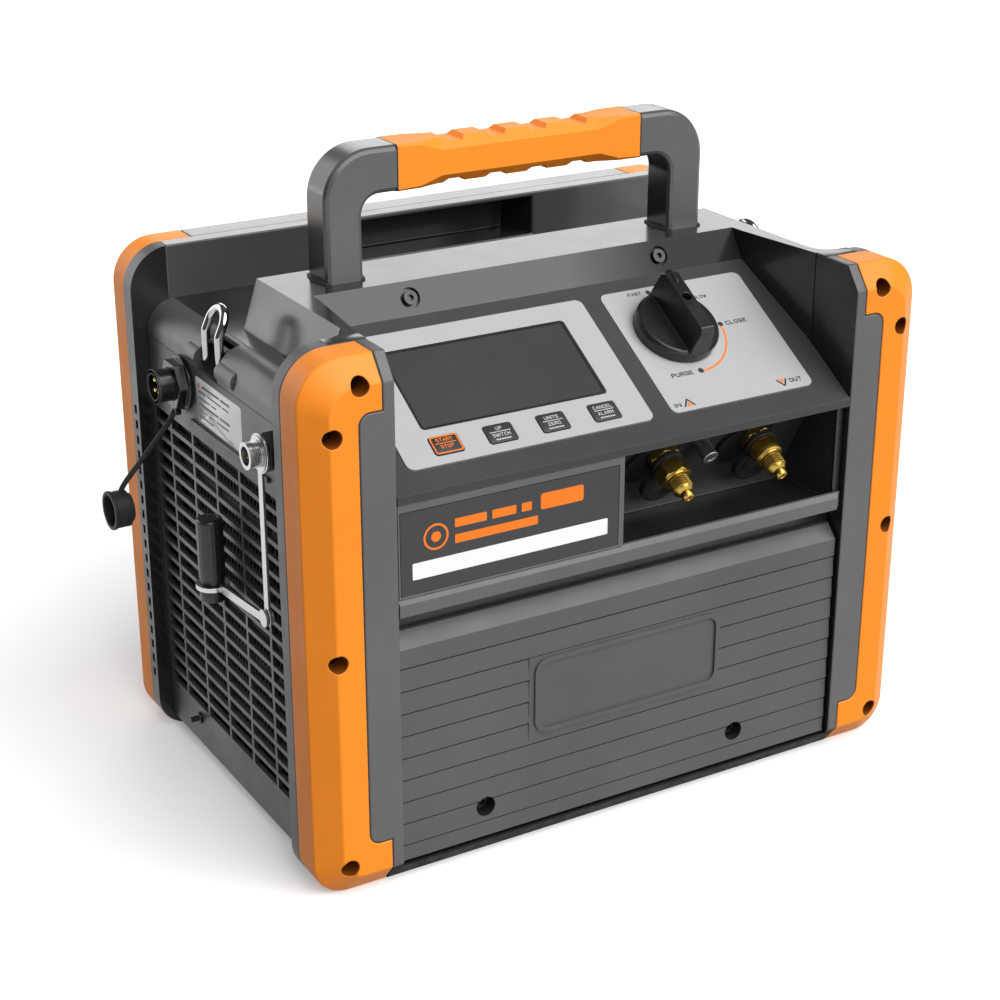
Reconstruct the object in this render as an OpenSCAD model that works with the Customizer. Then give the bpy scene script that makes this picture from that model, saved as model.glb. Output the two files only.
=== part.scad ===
// Portable refrigerant recovery machine: a box-shaped housing with four corner
// bumpers, a carry handle, a sloped control recess, a service-port bay, side
// grilles and the compressor, condenser and fan that work inside.
// Origin: centre of the resting face.  +Z up, the control side faces -Y.

/* [Housing] */
// Width across the corner bumpers
body_w = 350; // [346:1:354]
// Depth from the front face to the back face
body_d = 240; // [238:1:244]
// Height of the front frame and of the control deck
front_h = 266; // [264:1:268]
// Height of the rear frame
rear_h = 269; // [267:1:272]
// Radius of the upper corners of the frames
corner_top_r = 22.5; // [21:0.5:26]
// Radius of the lower corners of the frames
corner_low_r = 18; // [17:0.5:22]
// How far the side panels stand back from the bumpers
side_inset = 8; // [7:0.5:9]
// Height of the low deck behind the control deck
low_deck_z = 241; // [240:0.5:242]
// Wall thickness of the side panels
skin_t = 2.5; // [2:0.1:3]

/* [Bumpers] */
// Sideways size of the bumper chamfer
chamfer_x = 12; // [9:0.5:13]
// Depth of the bumper chamfer
chamfer_y = 9; // [7:0.5:10]
// Depth of a bumper along the side of the housing
bumper_d = 26; // [25:0.5:27]
// Radius of the screw wells in the bumpers
well_r = 4.3; // [4:0.1:4.6]

/* [Handle] */
// Distance between the outer faces of the handle legs
handle_w = 221; // [215:1:226]
// Height of the top of the handle
handle_top = 330.5; // [326:0.5:334]
// Height of the handle bar's section
bar_h = 23; // [21:0.5:25]
// Depth of the handle's section
bar_d = 22.5; // [21:0.5:24]
// Length of the soft grip
grip_l = 141; // [136:1:146]
// Distance between the finger notches of the grip
notch_pitch = 24; // [22:0.5:26]

/* [Controls] */
// Slope of the control panel, degrees
panel_a = 31; // [30:0.5:32]
// Radius of the selector knob's base
knob_r = 22.2; // [20:0.2:23]
// Height of the selector knob above the dial plate
knob_h = 24; // [22:0.5:26]
// Width of one key
key_w = 15.2; // [14:0.2:16]
// Length of one key
key_l = 10.8; // [10:0.2:11]
// Distance between the keys
key_pitch = 29.2; // [28.6:0.1:29.4]
// How far a key travels
key_travel = 0.6; // [0.4:0.1:0.6]

/* [Ports] */
// Radius over the thread of the flare ports
port_r = 5.556; // [5.5:0.001:5.6]
// Distance between the two ports
port_pitch = 58; // [56:1:60]

/* [Grille] */
// Number of slot rows in a side grille
grille_rows = 19; // [15:1:19]
// Distance between slot rows
row_pitch = 8.58; // [8.4:0.01:8.6]
// Height of one slot
slot_h = 6.1; // [5.5:0.1:6.2]
// Distance between slot columns
col_pitch = 29; // [28:0.5:29]

/* [Hidden] */
$fn = 64;

w2 = body_w / 2;
side_x = w2 - side_inset;              // outer plane of the side panels
flange_y = bumper_d + 8.5;             // back of the front flange
rear_y = body_d - 34;                  // front of the rear flange
ground = -6;                           // resting face, in the heights used below
post_x = 130.7;                        // inner face of the front posts
step_x = 148.9;                        // inner edge of a bumper between its tabs
tab_x = 136.9;                         // inner edge of a bumper at its tabs
panel_y = 1;                           // front edge of the sloped panel
panel_z = 198.3;
plate_h = 0.6;                         // plates stand this proud of the panel
pocket_h = 0.9;                        // depth of the pockets under the plates
dial_x = 57.5;                         // centre of the selector dial
dial_s = 62;
key_s = 22;                            // keys' distance up the slope
key_x0 = -94.4;                        // first key
port_x = 34.3;                         // first port
port_t = 28.1;                         // ports' distance up the bay's slanted wall
stud_x = 57.5;                         // earth stud
bail_x = side_x - 4;                   // pivot line of the strap bails
bail_z = 229;
wire_r = 2.25;
bail_y = [121, 137];                   // the two legs of a bail
power_yz = [161, 211];                 // power socket on the left side
sensor_yz = [52, 210.5];               // sensor socket on the left side
link_x = -174;                         // plane of the upper lanyard link
knot_z = 127;                          // rivet between the two lanyard links
cap_y = 112;                           // sensor cap on the lower link
cap_x = -177;
fan_yz = [127, 105];                   // fan axis
crank_yz = [130, 70];                  // compressor axis
pscrew = [[-83, 21], [68.5, 21]];      // front panel screws
bscrew = [[147.5, 253.6], [161.5, 231.5], [162, 121], [159.5, 11]];
// Route of the dust cap's rubber tether
tether_pts = [[-171, 163, 197.5], [-174, 163, 192], [-179, 164, 185], [-185, 166, 177],
  [-191, 168, 169], [-196, 170, 162], [-199, 171.5, 157], [-200.5, 172, 153.5]];
tether_r = 1.4;
// Routes of the copper lines
line_in = [[34.3, 49.5, 188], [34.3, 64, 196.4], [34.3, 84, 206], [31, 100, 208],
  [20, 118, 206], [8, 127, 196], [0, 130, 182], [0, 130, 163]];
line_out = [[92.3, 49.5, 188], [92.3, 66, 197.5], [92.3, 84, 204], [90, 108, 206],
  [78, 150, 206], [50, 184, 206], [10, 197, 206], [-60, 199, 204], [-115, 199, 200],
  [-134, 200, 192], [-143, 200, 182], [-144, 197, 176.5], [-144, 192.5, 176]];
line_dis = [[-40, 130, 163], [-40, 130, 178], [-40, 124, 190], [-40, 108, 198],
  [-46, 84, 198], [-70, 60, 196], [-110, 52, 192], [-134, 52, 186], [-143, 54, 180],
  [-144, 57, 176.5], [-144, 61.5, 176]];
line_r = 3.2;

c_grey = [0.28, 0.28, 0.29];
c_dark = [0.12, 0.12, 0.13];
c_black = [0.05, 0.05, 0.05];
c_orange = [0.98, 0.50, 0.12];
c_plate = [0.80, 0.81, 0.82];
c_chrome = [0.75, 0.76, 0.78];
c_brass = [0.80, 0.62, 0.22];
c_copper = [0.72, 0.42, 0.26];
c_alu = [0.66, 0.67, 0.69];

// ---------- placing and shared shapes ----------

// y runs from the front face (0) to the back face (body_d) inside this module
module place() { translate([0, -body_d / 2, -ground]) children(); }
// extrude an x-z drawing from y0 to y1
module ey(y0, y1) { translate([0, y1, 0]) rotate([90, 0, 0]) linear_extrude(y1 - y0) children(); }
// extrude a y-z drawing from x0 to x1
module ex(x0, x1) { translate([x0, 0, 0]) rotate([90, 0, 90]) linear_extrude(x1 - x0) children(); }
// extrude an x-y drawing from z0 to z1
module ez(z0, z1) { translate([0, 0, z0]) linear_extrude(z1 - z0) children(); }
// box from corner a to corner b
module box(a, b) { translate(a) cube(b - a); }
// round bars along the axes
module bar_x(x0, x1, y, z, r) { translate([x0, y, z]) rotate([0, 90, 0]) cylinder(r = r, h = x1 - x0); }
module bar_y(y0, y1, x, z, r) { translate([x, y1, z]) rotate([90, 0, 0]) cylinder(r = r, h = y1 - y0); }
module bar_z(z0, z1, x, y, r) { translate([x, y, z0]) cylinder(r = r, h = z1 - z0); }
// local frame on the sloped panel: x across, y up the slope, z out of the panel
module on_panel(x, s, h = 0) {
  translate([x, panel_y + s * cos(panel_a), panel_z + s * sin(panel_a)])
    rotate([panel_a, 0, 0]) translate([0, 0, h]) children();
}
// local frame on the slanted wall of the port bay: z points forwards and down
module on_bay(x, t, h = 0) {
  translate([x, 45 - t * sin(30), 153 + t * cos(30)]) rotate([120, 0, 0]) translate([0, 0, h]) children();
}
// rectangle with round corners
module rrect(w, l, r) {
  square([w - 2 * r, l], center = true);
  square([w, l - 2 * r], center = true);
  for (i = [-1, 1], j = [-1, 1]) translate([i * (w / 2 - r), j * (l / 2 - r)]) circle(r);
}
// frame outline in x-z with its own upper and lower corner radii
module outline(a, z0, z1, rt, rb) {
  polygon([[-a + rb, z0], [a - rb, z0], [a, z0 + rb], [a, z1 - rt], [a - rt, z1], [-a + rt, z1], [-a, z1 - rt], [-a, z0 + rb]]);
  for (i = [-1, 1]) {
    translate([i * (a - rt), z1 - rt]) circle(rt);
    translate([i * (a - rb), z0 + rb]) circle(rb);
  }
}
// convex envelope of an end frame: front face at y = 0, chamfered all round
module envelope(h, d) {
  hull() {
    ey(0, 0.02) outline(w2 - chamfer_x, 5, h - 12, corner_top_r - 9, corner_low_r - 6, $fn = 48);
    ey(chamfer_y, d) outline(w2, ground, h, corner_top_r, corner_low_r, $fn = 48);
  }
}
// stepped inner edge between a post and its bumper, with a gap g
module step2d(g, z1) {
  r = 6 - g; zt = z1 - 25 - g; zb = 20.5 + g; xr = step_x - g;
  translate([post_x, zb + r]) square([xr - post_x, zt - zb - 2 * r]);
  translate([post_x, zb]) square([xr - r - post_x, zt - zb]);
  translate([xr - r, zt - r]) circle(r);
  translate([xr - r, zb + r]) circle(r);
}
// tube swept along points; each ring lies in the plane between its neighbours
function unit(v) = v / norm(v);
function sweep_dir(p, i) = unit(p[min(i + 1, len(p) - 1)] - p[max(i - 1, 0)]);
function sweep_u(d) = unit(cross(d, abs(d[1]) < 0.9 ? [0, 1, 0] : [1, 0, 0]));
module sweep(p, r, n) {
  m = len(p);
  v = [for (i = [0:m - 1]) let (d = sweep_dir(p, i), u = sweep_u(d), w = cross(d, u))
    for (k = [0:n - 1]) p[i] + r * cos(360 * k / n) * u + r * sin(360 * k / n) * w];
  f = concat([[for (k = [0:n - 1]) n - 1 - k]],
    [for (i = [0:m - 2], k = [0:n - 1]) [i * n + k, i * n + (k + 1) % n, (i + 1) * n + (k + 1) % n]],
    [for (i = [0:m - 2], k = [0:n - 1]) [i * n + k, (i + 1) * n + (k + 1) % n, (i + 1) * n + k]],
    [[for (k = [0:n - 1]) (m - 1) * n + k]]);
  polyhedron(points = v, faces = [for (q = f) [for (j = [len(q) - 1:-1:0]) q[j]]], convexity = 4);
}

// ---------- end frames and bumpers ----------

module bumper(h, d) {
  difference() {
    intersection() {
      envelope(h, d);
      ey(-1, d + 1) difference() {
        translate([tab_x, ground - 2]) square([60, h - ground + 4]);
        step2d(0, h);
      }
    }
    // screw wells and the screws' clearance holes
    for (s = bscrew) {
      bar_y(-1, 16, s[0], s[1], well_r);
      bar_y(15, d + 1, s[0], s[1], 2.2);
    }
    // hollows on the hidden side
    box([step_x + 4, 8, 30], [w2 - 7, d + 1, 110]);
    box([step_x + 4, 8, 132], [w2 - 7, d + 1, 222]);
  }
}
module rear_place() { translate([0, body_d, 0]) mirror([0, 1, 0]) children(); }
rear_bd = 24;                          // depth of a rear bumper
module bumper_front_right() { color(c_orange) place() bumper(front_h, bumper_d); }
module bumper_front_left() { color(c_orange) place() mirror([1, 0, 0]) bumper(front_h, bumper_d); }
module bumper_rear_right() { color(c_orange) place() rear_place() bumper(rear_h, rear_bd); }
module bumper_rear_left() { color(c_orange) place() mirror([1, 0, 0]) rear_place() bumper(rear_h, rear_bd); }

module one_screw(d) { bar_y(12, 15.9, 0, 0, 3.7); bar_y(15.9, d + 6, 0, 0, 2); }
module bumper_screws() {
  color(c_black) place() for (m = [0, 1]) mirror([m, 0, 0]) for (s = bscrew) {
    translate([s[0], 0, s[1]]) one_screw(bumper_d);
    rear_place() translate([s[0], 0, s[1]]) one_screw(rear_bd);
  }
}

module front_post() {
  difference() {
    union() {
      intersection() {
        ey(bumper_d, flange_y) outline(w2, ground, front_h, corner_top_r, corner_low_r);
        box([post_x, 0, ground - 1], [w2 + 1, 60, front_h + 1]);
      }
      intersection() {
        envelope(front_h, bumper_d);
        ey(-1, bumper_d + 1) { step2d(0.4, front_h); translate([post_x, 3.2]) square([tab_x - 0.4 - post_x, 300]); }
      }
    }
    // core hollow, open to the inside
    box([post_x + 3.4, 4, 12], [step_x - 3.6, flange_y + 1, front_h - 38]);
    box([post_x - 1, -1, ground - 1], [tab_x - 0.2, flange_y + 1, 3.2]);
    for (s = bscrew) bar_y(bumper_d - 1, flange_y + 1, s[0], s[1], 2.1);
  }
}
module front_post_right() { color(c_grey) place() front_post(); }
module front_post_left() { color(c_grey) place() mirror([1, 0, 0]) front_post(); }

// rear end: flange ring with vent slots, two posts and a sill
module rear_frame() {
  fy = body_d - rear_bd;               // back of the flange
  color(c_grey) place() difference() {
    union() {
      ey(rear_y, fy) difference() {
        outline(w2, ground, rear_h, corner_top_r, corner_low_r);
        translate([-155, 12]) square([310, 226]);
        translate([-155, low_deck_z - 3]) square([310, 60]);
      }
      for (m = [0, 1]) mirror([m, 0, 0]) intersection() {
        rear_place() envelope(rear_h, rear_bd);
        ey(fy - 0.01, body_d - 2) { step2d(0.4, rear_h); translate([post_x, 3.2]) square([tab_x - 0.4 - post_x, low_deck_z - 6.4]); }
      }
      // posts meet the ring
      for (m = [0, 1]) mirror([m, 0, 0]) box([post_x, fy - 4, 8], [160, fy, 230]);
    }
    box([-tab_x + 0.2, rear_y - 1, ground - 1], [tab_x - 0.2, body_d + 1, 3.2]);
    box([-tab_x + 0.1, rear_y - 1, low_deck_z - 3], [tab_x - 0.1, body_d + 1, rear_h + 1]);
    // column of vents through the flange
    for (m = [0, 1], k = [0:grille_rows - 1]) mirror([m, 0, 0])
      box([150, rear_y + 3, 25.2 + k * row_pitch], [w2 + 1, rear_y + 6.2, 25.2 + k * row_pitch + 5]);
    for (m = [0, 1], s = bscrew) mirror([m, 0, 0]) bar_y(rear_y - 1, fy + 1, s[0], s[1], 2.1);
  }
}
// back wall with two louvre fields
module rear_panel() {
  color(c_grey) place() difference() {
    union() {
      box([-130.4, body_d - 8, 3.4], [130.4, body_d - 4, low_deck_z - 3.4]);
      for (k = [0:14]) box([-118, body_d - 4.1, 20 + k * 14], [118, body_d - 2.6, 28 + k * 14]);
    }
    for (k = [0:9], i = [-1, 1]) box([i * 62 - 42, body_d - 20, 41.5 + k * 14], [i * 62 + 42, body_d, 46.5 + k * 14]);
  }
}
// cross piece on top of the rear end, with a finger pocket that opens forwards
module rear_top_cover() {
  z0 = low_deck_z - 2.8; fy = body_d - rear_bd;
  color(c_grey) place() difference() {
    intersection() {
      union() {
        box([-154.7, rear_y, z0], [154.7, fy - 0.2, rear_h]);
        box([-tab_x + 0.4, fy - 0.3, z0], [tab_x - 0.4, body_d, rear_h]);
      }
      rear_place() envelope(rear_h, 60);
    }
    // finger pocket with raked ends
    ez(245, 266.5) polygon([[-66, rear_y - 1], [66, rear_y - 1], [58, rear_y + 23], [-58, rear_y + 23]]);
    // hollow underside, beside and behind the pocket
    for (m = [0, 1]) mirror([m, 0, 0]) {
      box([70, rear_y + 3, z0 - 1], [133, body_d - 14, rear_h - 4]);
      bar_y(rear_y + 3.4, body_d, bscrew[0][0], bscrew[0][1], 2.2);
    }
  }
}

// ---------- control deck ----------

// outline of the control deck in y-z: lip, sloped panel, raked wall, deck, rear wall
cowl_yz = [[0, 193.5], [0, front_h], [137.5, front_h], [137.5, low_deck_z + 0.05], [134.5, low_deck_z + 0.05],
  [134.5, front_h - 3], [98.8, front_h - 3], [90.2, panel_z + (90.2 - panel_y) * tan(panel_a) - 4.4],
  [4.5, panel_z + 3.5 * tan(panel_a) - 4.4], [3, 193.5]];
hump_top = 134.5;                      // half width of the deck at its top and at its foot
hump_low = 142.5;
hump_a = atan2(hump_low - hump_top, front_h - low_deck_z);
wall_y = 88.2;                         // foot of the raked wall
wall_z = panel_z + (wall_y - panel_y) * tan(panel_a);
recess_yz = [[-5, panel_z - 0.6], [0, panel_z - 0.6], [panel_y, panel_z], [wall_y, wall_z], [97, front_h + 0.5],
  [97, front_h + 9], [-5, front_h + 9]];
bz = [-50.7, 52.4, 136.2, 81.8];       // display bezel: centre x, centre s, width, length
dl = [72.05, 52.8, 87.1, 81.2];        // dial plate
lc = [-50.6, 57.3, 102.8, 49.2];       // screen

module front_cowl() {
  color(c_dark) place() difference() {
    union() {
      ex(-post_x + 0.2, post_x - 0.2) polygon(cowl_yz);
      intersection() {
        ex(-150, 150) polygon(cowl_yz);
        ey(flange_y + 0.2, 137.5) polygon([[-hump_top, front_h], [hump_top, front_h], [hump_low, low_deck_z], [hump_low, 180], [-hump_low, 180], [-hump_low, low_deck_z]]);
      }
      for (m = [0, 1]) mirror([m, 0, 0]) {
        ey(80, 137.5) polygon([[hump_top, front_h], [hump_low, low_deck_z + 0.05], [hump_low - 3, low_deck_z + 0.05], [hump_top - 3, front_h]]);
        // hollow corner that leans with the end wall and runs out to the front flange
        intersection() {
          box([100, 0, low_deck_z + 0.05], [175, 140, front_h]);
          translate([hump_low - 3, flange_y + 0.2, low_deck_z]) rotate([0, -hump_a, 0]) translate([0, 0, -10]) linear_extrude(50) difference() {
            square([15, 12]);
            translate([15, 12]) circle(11.9);
          }
        }
      }
    }
    intersection() {
      ex(-200, 200) polygon(recess_yz);
      ez(150, 300) polygon([[-post_x - 1, -6], [post_x + 1, -6], [post_x + 1, flange_y + 0.2], [post_x, flange_y + 0.2], [124, 88], [123.4, 99],
        [-123.4, 99], [-124, 88], [-post_x, flange_y + 0.2], [-post_x - 1, flange_y + 0.2]]);
    }
    // pockets for the two plates and the holes behind them
    on_panel(bz[0], bz[1], -pocket_h) linear_extrude(3) rrect(bz[2] + 0.8, bz[3] + 0.8, 4.4);
    on_panel(dl[0], dl[1], -pocket_h) linear_extrude(3) rrect(dl[2] + 0.8, dl[3] + 0.8, 4.4);
    on_panel(lc[0], lc[1], -9) linear_extrude(12) square([94, 41], center = true);
    for (i = [0:3]) on_panel(key_x0 + i * key_pitch, key_s, -9) cylinder(r = 2.05, h = 12);
    on_panel(dial_x, dial_s, -9) cylinder(r = 6.5, h = 12);
    // recessed screws on the raked wall
    for (i = [-1, 1]) translate([i * 73.4, 92.6, 258.4]) rotate([60, 0, 0]) {
      translate([0, 0, -1.8]) cylinder(r = 5.4, h = 12);
      translate([0, 0, -14]) cylinder(r = 2.1, h = 14);
    }
    // bolts of the handle legs
    for (i = [-1, 1], j = [0, 1]) bar_z(front_h - 9, front_h + 1, i * (handle_w / 2 - 10.2), 113.5 + 11.5 * j, 2.7);
  }
}
module top_cover() {
  color(c_dark) place() difference() {
    box([-side_x + 15.2, flange_y + 0.3, low_deck_z - 2.8], [side_x - 15.2, rear_y - 0.3, low_deck_z]);
    box([-142.8, 0, 200], [142.8, 92, 300]);
    for (i = [-1, 1]) box([i * (handle_w / 2 - 10.2) - 9, 102, 200], [i * (handle_w / 2 - 10.2) + 9, 132, 300]);
  }
}

module display_bezel() {
  color(c_plate) place() difference() {
    on_panel(bz[0], bz[1], -pocket_h) linear_extrude(pocket_h + plate_h) rrect(bz[2], bz[3], 4);
    on_panel(lc[0], lc[1], -2) linear_extrude(6) rrect(lc[2] + 0.5, lc[3] + 0.5, 2.2);
    for (i = [0:3]) on_panel(key_x0 + i * key_pitch, key_s, -2) linear_extrude(6) rrect(key_w + 0.6, key_l + 0.6, 1.8);
  }
}
module lcd_window() {
  color([0.16, 0.17, 0.18]) place() on_panel(lc[0], lc[1], -pocket_h) linear_extrude(pocket_h) rrect(lc[2], lc[3], 2);
}
module one_key(i) {
  b = key_travel + 0.05 - pocket_h;    // underside, clear of the pocket's floor when pressed
  on_panel(key_x0 + i * key_pitch, key_s, b) {
    linear_extrude(plate_h + 0.5 - b) rrect(key_w, key_l, 1.5);
    translate([0, 0, -6.65]) cylinder(r = 2, h = 6.75);
  }
}
module key_start() { color(c_orange) place() one_key(0); }
module key_up() { color(c_grey) place() one_key(1); }
module key_units() { color(c_grey) place() one_key(2); }
module key_cancel() { color(c_grey) place() one_key(3); }
// circuit board under the panel, with the screen module and the key switches
module control_board() {
  color([0.10, 0.32, 0.16]) place() {
    on_panel(bz[0], bz[1] + 1, -12.6) linear_extrude(1.6) square([130, 76], center = true);
    on_panel(lc[0], lc[1], -11.1) linear_extrude(9.9) square([93, 40], center = true);
    for (i = [0:3]) on_panel(key_x0 + i * key_pitch, key_s, -11.1) linear_extrude(3.4) square([6, 6], center = true);
    for (i = [-1, 1], j = [-1, 1]) on_panel(bz[0] + i * 61, bz[1] + 1 + j * 34, -11.1) cylinder(r = 2.5, h = 7.3);
  }
}
module dial_plate() {
  color(c_plate) place() difference() {
    on_panel(dl[0], dl[1], -pocket_h) linear_extrude(pocket_h + plate_h) rrect(dl[2], dl[3], 4);
    on_panel(dial_x, dial_s, -3) cylinder(r = 6.5, h = 8);
  }
}
// round knob with a raised wing; the wing's pointer end is up the slope
module selector_knob() {
  color(c_black) place() on_panel(dial_x, dial_s) difference() {
    union() {
      translate([0, 0, plate_h + 0.4]) cylinder(r = knob_r, h = 5.4);
      translate([0, 0, plate_h + 5.8]) cylinder(r1 = knob_r, r2 = knob_r - 1.6, h = 1.8);
      intersection() {
        rotate([90, 0, 90]) translate([0, 0, -6]) linear_extrude(12)
          polygon([[-knob_r + 0.4, plate_h + 1], [-knob_r + 1, knob_h - 2.5], [-knob_r + 3, knob_h], [knob_r - 3, knob_h], [knob_r - 1, knob_h - 2.5], [knob_r - 0.4, plate_h + 1]]);
        rotate([90, 0, 0]) translate([0, 0, -30]) linear_extrude(60) polygon([[-6, 0], [6, 0], [5.6, 9], [3.9, knob_h], [-3.9, knob_h], [-5.6, 9]]);
        cylinder(r = knob_r - 0.2, h = 40);
      }
    }
    translate([0, 0, -1]) cylinder(r = 4.03, h = 17);
  }
}
module valve_stem() {
  color(c_chrome) place() on_panel(dial_x, dial_s, -30) cylinder(r = 4, h = 45.8);
}
module valve_block() {
  color(c_brass) place() difference() {
    union() {
      on_panel(dial_x, dial_s, -40) linear_extrude(30) square([38, 38], center = true);
      on_panel(dial_x, dial_s, -10.1) cylinder(r = 9, h = 6);
    }
    on_panel(dial_x, dial_s, -31) cylinder(r = 4.06, h = 40);
  }
}
module cover_screws() {
  color(c_black) place() {
    for (p = pscrew) { bar_y(10, 12.9, p[0], p[1], 4); bar_y(12.9, 21, p[0], p[1], 2); }
    for (i = [-1, 1]) translate([i * 73.4, 92.6, 258.4]) rotate([60, 0, 0]) {
      translate([0, 0, -1.7]) difference() { cylinder(r = 3.6, h = 2.6); translate([0, 0, 1]) cylinder(r = 1.7, h = 3, $fn = 6); }
      translate([0, 0, -13]) cylinder(r = 2, h = 12);
    }
  }
}

// ---------- front face ----------

rib_z0 = 12.6;                         // lowest slat line
rib_pitch = 12;
module front_panel() {
  // each slat leans out towards its lower edge; a narrow groove parts it from the next
  face = concat([[3.4, 4.2], [3.6, rib_z0 - 0.5]], [for (i = [0:8], k = [0:3]) let (z = rib_z0 + i * rib_pitch)
    k == 0 ? [5.4, z - 0.5] : k == 1 ? [5.4, z + 0.5] : k == 2 ? [3, z + 0.5] : i == 8 ? [3, 118.8] : [3.6, z + rib_pitch - 0.5]]);
  color(c_grey) place() difference() {
    union() {
      ex(-post_x + 0.4, post_x - 1.4) polygon(concat(face, [[9.5, 125.8], [12, 125.8], [12, 121], [8.4, 114.5], [8.4, 4.2]]));
      box([-58.5, 3, rib_z0 + 3 * rib_pitch + 0.8], [56, 6, rib_z0 + 7 * rib_pitch]);
      ey(1.9, 6) translate([0, 74.5]) rrect(111, 41, 7.6);
      for (p = pscrew) bar_y(8, 15.6, p[0], p[1], 8);
    }
    // shallow badge field inside a raised rim
    ey(1, 3.2) translate([0, 74.5]) rrect(106.4, 36.4, 5.6);
    for (p = pscrew) { bar_y(2, 13, p[0], p[1], 5.2); bar_y(12, 17, p[0], p[1], 2.1); }
  }
}
module front_shelf() {
  color(c_grey) place() intersection() {
    ex(-post_x + 0.3, post_x - 0.3) polygon([[0, 137], [0, 143.4], [1.9, 146], [3.8, 146], [3.8, 138.1], [14, 138.1], [14, 112], [12.3, 112], [12.3, 137]]);
    ez(100, 160) polygon([[-140, -1], [126.5, -1], [126.5, 0], [130.4, 3.6], [130.4, 30], [-140, 30]]);
  }
}
module info_frame() {
  color(c_grey) place() difference() {
    box([-post_x + 0.3, 0.6, 146.2], [-6.7, 5, 193.2]);
    box([-129.3, 0, 147], [-9.6, 1.6, 189.2]);
  }
}
module info_plate() { color(c_dark) place() box([-129, 0.9, 147.3], [-9.9, 1.6, 188.9]); }

// hollow behind the front face: floor, upright band, slanted wall and ceiling
module port_bay() {
  color(c_black) place() difference() {
    ex(-6.5, post_x - 0.3) polygon([[4, 138.3], [47.8, 138.3], [47.8, 153.8], [24.7, 193.8], [24.2, 194.8], [4.2, 194.8], [4, 193.6]]);
    ex(-4.2, 126) polygon([[-5, 140.5], [45, 140.5], [45, 153], [45 - 40 * tan(30), 193], [-5, 193]]);
    for (i = [0, 1]) on_bay(port_x + i * port_pitch, port_t, -8) cylinder(r = 6.4, h = 16);
    on_bay(stud_x, 31, -8) cylinder(r = 2.6, h = 16);
  }
}
module port_pads() {
  color(c_black) place() for (i = [0, 1]) on_bay(port_x + i * port_pitch, port_t) difference() {
    union() {
      cylinder(r = 11, h = 2.4);
      translate([-9, -7, 0]) cylinder(r = 11, h = 2.4);
      linear_extrude(2.4) polygon([[-6.75, 8.7], [6.75, -8.7], [-2.25, -15.7], [-15.75, 1.7]]);
    }
    translate([0, 0, -1]) cylinder(r = 6.4, h = 5);
  }
}
// flare port: lock nut, hexagon, thread, nose, and the body behind the wall
module flare_port() {
  difference() {
    union() {
      translate([0, 0, -22]) cylinder(r = 6.2, h = 25);
      translate([0, 0, 2.5]) cylinder(r = 9.2, h = 5.5, $fn = 6);
      translate([0, 0, 8]) cylinder(r = 6.6, h = 1.5);
      translate([0, 0, 9.5]) rotate([0, 0, 15]) cylinder(r = 8.6, h = 5, $fn = 6);
      translate([0, 0, 14.5]) cylinder(r1 = 7.4, r2 = port_r, h = 1.4);
      translate([0, 0, 15.9]) cylinder(r = port_r, h = 10);
      translate([0, 0, 25.9]) cylinder(r1 = port_r - 0.3, r2 = 3.4, h = 2);
      translate([0, 0, 27.9]) cylinder(r = 3.3, h = 2.6);
      translate([0, 0, 30.5]) cylinder(r1 = 3.3, r2 = 2.5, h = 1.2);
      translate([0, 0, -8]) cylinder(r = 9.5, h = 5, $fn = 6);
    }
    translate([0, 0, -23]) cylinder(r = 1.6, h = 60);
  }
}
module inlet_port() { color(c_brass) place() on_bay(port_x, port_t) flare_port(); }
module outlet_port() { color(c_brass) place() on_bay(port_x + port_pitch, port_t) flare_port(); }
module earth_stud() {
  color(c_chrome) place() on_bay(stud_x, 31) difference() {
    union() { translate([0, 0, 0]) cylinder(r = 4.4, h = 13); translate([0, 0, -7]) cylinder(r = 2.5, h = 8); }
    translate([0, 0, 9]) cylinder(r = 2.2, h = 6, $fn = 6);
  }
}

// ---------- sides ----------

module grille_slots() {
  y0 = 52.4; y1 = 202;
  for (k = [0:grille_rows - 1], c = [-1:4]) {
    a = c < 0 ? y0 : 66 + c * col_pitch + 1.1;
    b = c == 4 ? y1 : 66 + (c + 1) * col_pitch - 1.1;
    translate([a, 25.2 + k * row_pitch]) square([b - a, slot_h]);
  }
}
module side_panel(left) {
  ex(side_x - skin_t, side_x) difference() {
    translate([flange_y + 0.3, 2]) square([rear_y - flange_y - 0.6, 221.2]);
    grille_slots();
    translate([166, 17.5]) circle(1.7);
    if (left) { translate(power_yz) circle(8.6); translate(sensor_yz) circle(6.3); }
  }
}
module right_side_panel() { color(c_grey) place() side_panel(false); }
module left_side_panel() { color(c_grey) place() mirror([1, 0, 0]) side_panel(true); }

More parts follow.
